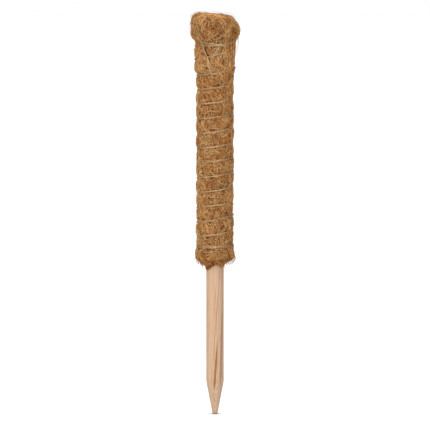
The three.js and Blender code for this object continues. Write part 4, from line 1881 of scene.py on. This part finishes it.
@dataclass(frozen=True)
class Fuzz:
    """Short hairs that stand off the twine, coarser than jute fibres are, since those wouldn't show."""

    count: int = 4600
    points: int = 5
    sides: int = 3
    columns: int = 48
    spread: float = 1.1
    length: Limits = (1.5, 6.0)
    rise: float = 0.4
    rise_power: int = 3
    bend_power: float = 1.4
    radius: Limits = (0.05, 0.1)
    tone: Limits = (0.5, 0.9)

    def build(self, middle: Array, axes: tuple[Array, ...], off: float, draw: Generator) -> Strands:
        """Draws the hairs along the twine.

        Args:
            middle: points of the twine's middle.
            axes: along the twine, away from the pole and across both, at each point.
            off: how far from the middle the hairs start.
            draw: seeded draws.

        Returns:
            The hairs.
        """
        at = draw.integers(0, len(middle), self.count)
        along, outward, across = (axis[at] for axis in axes)
        turn = draw.normal(0.0, self.spread, self.count)[:, None]
        side = np.cos(turn) * outward + np.sin(turn) * across
        length = draw.uniform(*self.length, self.count)[:, None]
        way = along * draw.choice((-1.0, 1.0), self.count)[:, None]
        share = np.linspace(0.0, 1.0, self.points)[None, :, None]
        rise = draw.uniform(0.0, 1.0, self.count)[:, None] ** self.rise_power * self.rise
        lift = (side * length * rise)[:, None] * share**self.bend_power
        path = (middle[at] + side * off)[:, None] + (way * length)[:, None] * share + lift
        radii = np.repeat(draw.uniform(*self.radius, self.count)[:, None], self.points, axis=1)
        normals = np.repeat(side[:, None], self.points, axis=1)
        return Strands(path, normals, radii, draw.uniform(*self.tone, self.count))


@dataclass
class Twine:
    """The binding twine: two twisted plies along the winding, with its crossings, its tail and its fuzz."""

    sizes: PoleSizes
    winding: Winding
    surface: CoirSurface
    seat_depth: float = 1.2
    low_seat_depth: float = 0.7
    seat_waver: float = 0.4
    seat_rounds: Limits = (2.3, 4.1)
    seat_phase: float = 1.0
    side_waver: float = 0.3
    side_rounds: Limits = (3.3, 5.9)
    side_phase: float = 2.0
    plies: int = 2
    ply_radius: float = 0.54
    ply_offset: float = 0.44
    ply_tone: Limits = (0.38, 0.52)
    swell: float = 0.06
    swell_lengths: Limits = (11.0, 4.3)
    swell_phase: float = 1.0
    lay_length: float = 6.4
    tail_lay_length: float = 30.0
    ply_sides: int = 7
    stretches: int = 24
    columns: int = 4
    cross_lift: float = 1.2
    cross_width: float = math.radians(40)
    cross_sharpness: float = 1.6
    low_cross_angle: float = math.radians(8)
    top_cross_angle: float = math.radians(20)
    tie_tilt: float = 3.0
    pull: float = 1.6
    pull_angle: float = math.radians(-19)
    pull_turns: float = 0.05
    turn_steps: int = 240
    tail_steps: int = 90
    tail_tuck: float = 2.2
    tail_sink: float = 0.1
    tail_lifted: float = 0.25
    tail_lowering: Limits = (0.6, 0.3)
    tail_tucking: Limits = (0.9, 0.1)
    tail_opening: float = 0.5
    tail_flattening: float = 0.6
    # Painted highlight: the plies' tone rises and falls three times round the pole, palest at the front.
    highlight_lobes: int = 3
    paleness: float = 0.22
    # The twine is drawn darker on the cap, up to the top tie, and at the low tie.
    top_darkening: float = 0.04
    low_tie_darkening: float = 0.16
    seed: int = 23

    def seat(self, z: Array) -> Array:
        """Finds how far out the twine's middle lies on the winding.

        Args:
            z: heights.

        Returns:
            The radius at each.
        """
        winding, low_tie_top = self.winding, self.surface.low_tie_top
        above = smooth((z - winding.bottom_tie_z) / (low_tie_top - winding.bottom_tie_z))
        depth = self.low_seat_depth + (self.seat_depth - self.low_seat_depth) * above
        return self.surface.reach(z) - depth

    def route(self) -> tuple[Array, Array]:
        """Lays the twine's middle from its lower end to the tail's end.

        Returns:
            The points, evenly spaced, and the outward direction at each.
        """
        winding = self.winding
        turns, _ = winding.knots
        turn = np.linspace(0.0, turns[-1], int(turns[-1] * self.turn_steps))
        angle = winding.start_angle + turn * FULL_TURN
        front = np.mod(angle + math.pi, FULL_TURN) - math.pi
        z, radius = winding.height(turn), self.seat(winding.height(turn))

        lower, upper = turn < turns[1], turn > turns[2]
        tie_turn = np.where(upper, turn - turns[2], turn)
        order = np.where(tie_turn < 1.0, 1.0, -1.0) * (lower | upper)
        aside = np.where(lower, self.low_cross_angle - front, front - self.top_cross_angle)
        side = aside / self.cross_width
        swapped = smooth(side + 0.5) * smooth((math.pi - np.abs(front)) / self.cross_width + 0.5)
        z = z + (winding.diameter + winding.tie_gap) * swapped * order
        radius = radius + self.cross_lift * np.exp(-((self.cross_sharpness * side) ** 2)) * (order < 0)
        slow, fast = self.seat_rounds
        waver = np.sin(slow * angle) + np.sin(fast * angle + self.seat_phase)
        radius = radius - self.seat_waver * waver * (order == 0)
        z = z - self.tie_tilt * np.sin(front) * smooth(tie_turn) * upper
        slow, fast = self.side_rounds
        waver = self.side_waver * np.sin(slow * angle) * np.sin(fast * angle + self.side_phase)
        z = z + waver * (order == 0)
        pulled = turns[2] - 1.0 + (self.pull_angle - winding.end_angle) / FULL_TURN
        z = z - self.pull * np.exp(-(((turn - pulled) / self.pull_turns) ** 2))

        points = np.concatenate((around(radius, angle, z), self.tail(z[-1], radius[-1])))
        length = np.concatenate(((0.0,), np.cumsum(np.linalg.norm(np.diff(points, axis=0), axis=1))))
        even = np.arange(0.0, length[-1], winding.step)
        points = np.stack([np.interp(even, length, points[:, axis]) for axis in range(3)], axis=-1)
        return points, unit(points * LEVEL)

    def tail(self, start_z: float, start_radius: float) -> Array:
        """Leads the twine's free end out of the top tie and down beside the overlapping edge.

        Args:
            start_z: height where the tie lets it go.
            start_radius: radius there.

        Returns:
            Its points.
        """
        winding = self.winding
        heights = start_z - np.array(winding.tail_drops)
        corners = np.stack((np.radians(winding.tail_degrees), heights), axis=-1)
        angle, z = curve_through(corners, self.tail_steps + 1)[1:].T
        share = np.linspace(0.0, 1.0, self.tail_steps + 1)[1:]
        lowered, tucked = (
            smooth((share - begin) / stretch) for begin, stretch in (self.tail_lowering, self.tail_tucking)
        )
        over = self.surface.reach(z) - self.tail_sink + self.surface.flap_height * (1.0 - lowered)
        lifted = start_radius + (over - start_radius) * smooth(share / self.tail_lifted)
        return around(lifted - self.tail_tuck * tucked, angle, z)

    def build(self) -> None:
        """Twists the plies along the route and adds the fuzz."""
        middle, outward = self.route()
        along = unit(np.gradient(middle, axis=0))
        across = unit(np.cross(along, outward))
        outward = np.cross(across, along)
        draw = np.random.default_rng(self.seed)
        shading = MatShading(self.sizes.crown_z)
        plies = self.build_plies(middle, outward, across, draw)
        twine = plies.to_object("jute_binding", self.ply_sides, self.columns, self.stretches)
        dress(twine, JuteTwine(shading).make())
        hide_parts("binding_twine")
        settle(twine)
        fuzz = Fuzz()
        hairs = fuzz.build(middle, (along, outward, across), self.ply_radius, draw)
        fuzzy = hairs.to_object("twine_fuzz", fuzz.sides, fuzz.columns)
        dress(fuzzy, JuteTwine(shading, "jute_fibre", bump_height=0.0).make())
        settle(fuzzy)
        LOG.info("twine length: %.0f mm", (len(middle) - 1) * self.winding.step)

    def build_plies(self, middle: Array, outward: Array, across: Array, draw: Generator) -> Strands:
        """Twists the plies round the twine's middle, opened and flattened along the tail.

        Args:
            middle: evenly spaced points of the twine's middle.
            outward: away from the pole at each.
            across: along the pole at each.
            draw: seeded draws.

        Returns:
            The plies.
        """
        winding, surface = self.winding, self.surface
        distance = np.arange(len(middle)) * winding.step
        slow, fast = self.swell_lengths
        swell = 1.0 + self.swell * np.sin(distance / slow)
        swell = swell + self.swell * np.sin(distance / fast + self.swell_phase)
        opened = smooth((distance - distance[-1] + winding.tail_drops[-1]) / winding.tail_drops[2])
        twist = opened / self.tail_lay_length + (1.0 - opened) / self.lay_length
        twisted = np.cumsum(twist) * winding.step
        offset = self.ply_offset * swell * (1.0 + self.tail_opening * opened)
        paths, normals = [], []
        for ply in range(self.plies):
            turn = FULL_TURN * (twisted + ply / self.plies)
            raised = (np.cos(turn) * (1.0 - self.tail_flattening * opened))[:, None] * outward
            aside = raised + np.sin(turn)[:, None] * across
            paths.append(middle + offset[:, None] * aside)
            normals.append(unit(aside))
        radii = np.broadcast_to(self.ply_radius * swell, (self.plies, len(middle)))
        # Painted highlight: paler at the front and at two other places round, darker between
        pale = self.paleness * np.cos(self.highlight_lobes * angle_of(middle))
        # Darker on the cap, up to the top tie, and at the low tie
        dull = self.top_darkening * smooth((middle[:, 2] - self.sizes.skirt_z) / surface.head_depth)
        low = smooth((surface.low_tie_top - middle[:, 2]) / surface.groove_half_width)
        tones = draw.uniform(*self.ply_tone, self.plies)[:, None] + pale - dull - self.low_tie_darkening * low
        return Strands(np.stack(paths), np.stack(normals), radii, tones)


@dataclass
class Studio:
    """White table-top studio: the floor, soft light from the front and the back, and the camera."""

    sizes: PoleSizes
    elevation: float = math.radians(6.5)
    distance: float = 8000.0
    view_height: float = 536.0
    sensor: float = 36.0
    floor_size: float = 12000.0
    floor_grey: float = 0.5
    floor_glow: float = 0.62
    floor_roughness: float = 0.9
    contact_reach: float = 9.0
    contact_power: float = 2.0
    sky: float = 0.48
    key_way: Point = (420.0, 1900.0, -950.0)
    key_level: float = 2.43
    key_spread: float = math.radians(80)
    back_way: Point = (0.0, -1900.0, -1350.0)
    back_level: float = 0.9
    back_spread: float = math.radians(30)

    def build(self) -> None:
        """Sets the camera, the lamps, the floor and the white behind."""
        scene = bpy.context.scene
        scene.view_settings.view_transform = "Standard"
        target = Vector((0.0, 0.0, (self.sizes.crown_z + self.sizes.tip_z) / 2 * MM))
        self.add_camera(scene, target)
        self.add_lamp("key_light", self.key_way, self.key_level, self.key_spread)
        self.add_lamp("back_light", self.back_way, self.back_level, self.back_spread)
        self.add_floor()
        self.add_sky(scene)

    def add_camera(self, scene: Scene, target: Vector) -> None:
        """Adds the camera in front of the pole.

        Args:
            scene: that gets the camera.
            target: what it looks at.
        """
        data = bpy.data.cameras.new("camera")
        data.sensor_width = self.sensor
        data.lens = self.sensor * self.distance / self.view_height
        camera = bpy.data.objects.new("camera", data)
        scene.collection.objects.link(camera)
        back = Vector((0.0, -math.cos(self.elevation), math.sin(self.elevation)))
        camera.location = target + back * self.distance * MM
        camera.rotation_euler = (-back).to_track_quat("-Z", "Y").to_euler()
        scene.camera = camera

    def add_lamp(self, name: str, way: Point, level: float, spread: float) -> None:
        """Adds a wide soft lamp far off, so that the floor is lit evenly.

        Args:
            name: of the lamp.
            way: that its light goes.
            level: of its light.
            spread: angle that it fills.
        """
        data = bpy.data.lights.new(name, "SUN")
        data.angle = spread
        data.energy = level
        lamp = bpy.data.objects.new(name, data)
        bpy.context.scene.collection.objects.link(lamp)
        lamp.rotation_euler = Vector(way).to_track_quat("-Z", "Y").to_euler()

    def add_floor(self) -> None:
        """Adds the white floor under the stake's point, which keeps the pole's shadow."""
        bpy.ops.object.select_all(action="DESELECT")
        bpy.ops.mesh.primitive_plane_add(size=self.floor_size * MM, location=(0, 0, self.sizes.tip_z * MM))
        floor = bpy.context.object
        floor.name = "floor"
        made, tree, shader = new_material("white_floor")
        open_share = add_node(tree, "AmbientOcclusion", {"Distance": self.contact_reach * MM}, output="AO")
        near = add_node(tree, "Math", {0: open_share, 1: self.contact_power}, operation="POWER")
        grey = add_node(tree, "Math", {0: near, 1: self.floor_grey}, operation="MULTIPLY")
        glow = add_node(tree, "Math", {0: self.add_seen(tree), 1: self.floor_glow}, operation="MULTIPLY")
        glow = add_node(tree, "Math", {0: glow, 1: near}, operation="MULTIPLY")
        plug(tree, shader, {"Base Color": grey, "Roughness": self.floor_roughness})
        plug(tree, shader, {"Emission Color": WHITE, "Emission Strength": glow})
        dress(floor, made)

    def add_sky(self, scene: Scene) -> None:
        """Lights the pole evenly from all round and shows white behind it.

        Args:
            scene: that gets the sky.
        """
        world = bpy.data.worlds.new("studio")
        scene.world = world
        world.use_nodes = True
        tree = world.node_tree
        level = add_node(tree, "MapRange", {"Value": self.add_seen(tree), RANGE: (0.0, 1.0, self.sky, 1.0)})
        plug(tree, tree.nodes["Background"], {"Color": WHITE, "Strength": level})

    @staticmethod
    def add_seen(tree: Tree) -> Socket:
        """Tells the rays that show the white from those that light the pole.

        Args:
            tree: that gets the nodes.

        Returns:
            1 for the camera's rays, also by shiny or clear things, and 0 for others.
        """
        rays = add_node(tree, "LightPath").node.outputs
        seen = rays["Is Camera Ray"]
        for name in ("Is Glossy Ray", "Is Transmission Ray"):
            seen = add_node(tree, "Math", {0: seen, 1: rays[name]}, operation="MAXIMUM")
        return seen


def dress_hidden(nodes: dict[str, Object]) -> None:
    """Dresses the pieces inside the pole that are packed in their shape.

    Args:
        nodes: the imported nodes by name.
    """
    wire, pith = StapleWire().make(), CoirMatAndShade(name="pressed_coir").make()
    for name, node in nodes.items():
        if name.startswith("mat_staple"):
            dress(node, wire)
        elif name == "inner_coir_mat":
            dress(node, pith)


def main() -> None:
    """Builds the pole's looks piece by piece."""
    logging.basicConfig(level=logging.INFO, format="%(name)s: %(message)s")
    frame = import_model()
    sizes = PoleSizes.from_frame()
    winding = Winding(sizes)
    surface = CoirSurface(sizes, winding)
    Studio(sizes).build()
    dress_hidden(frame["nodes"])
    Stake(sizes).build()
    Coir(FibreLayout(sizes, winding, surface)).build()
    Twine(sizes, winding, surface).build()


if __name__ == "__main__":
    main()
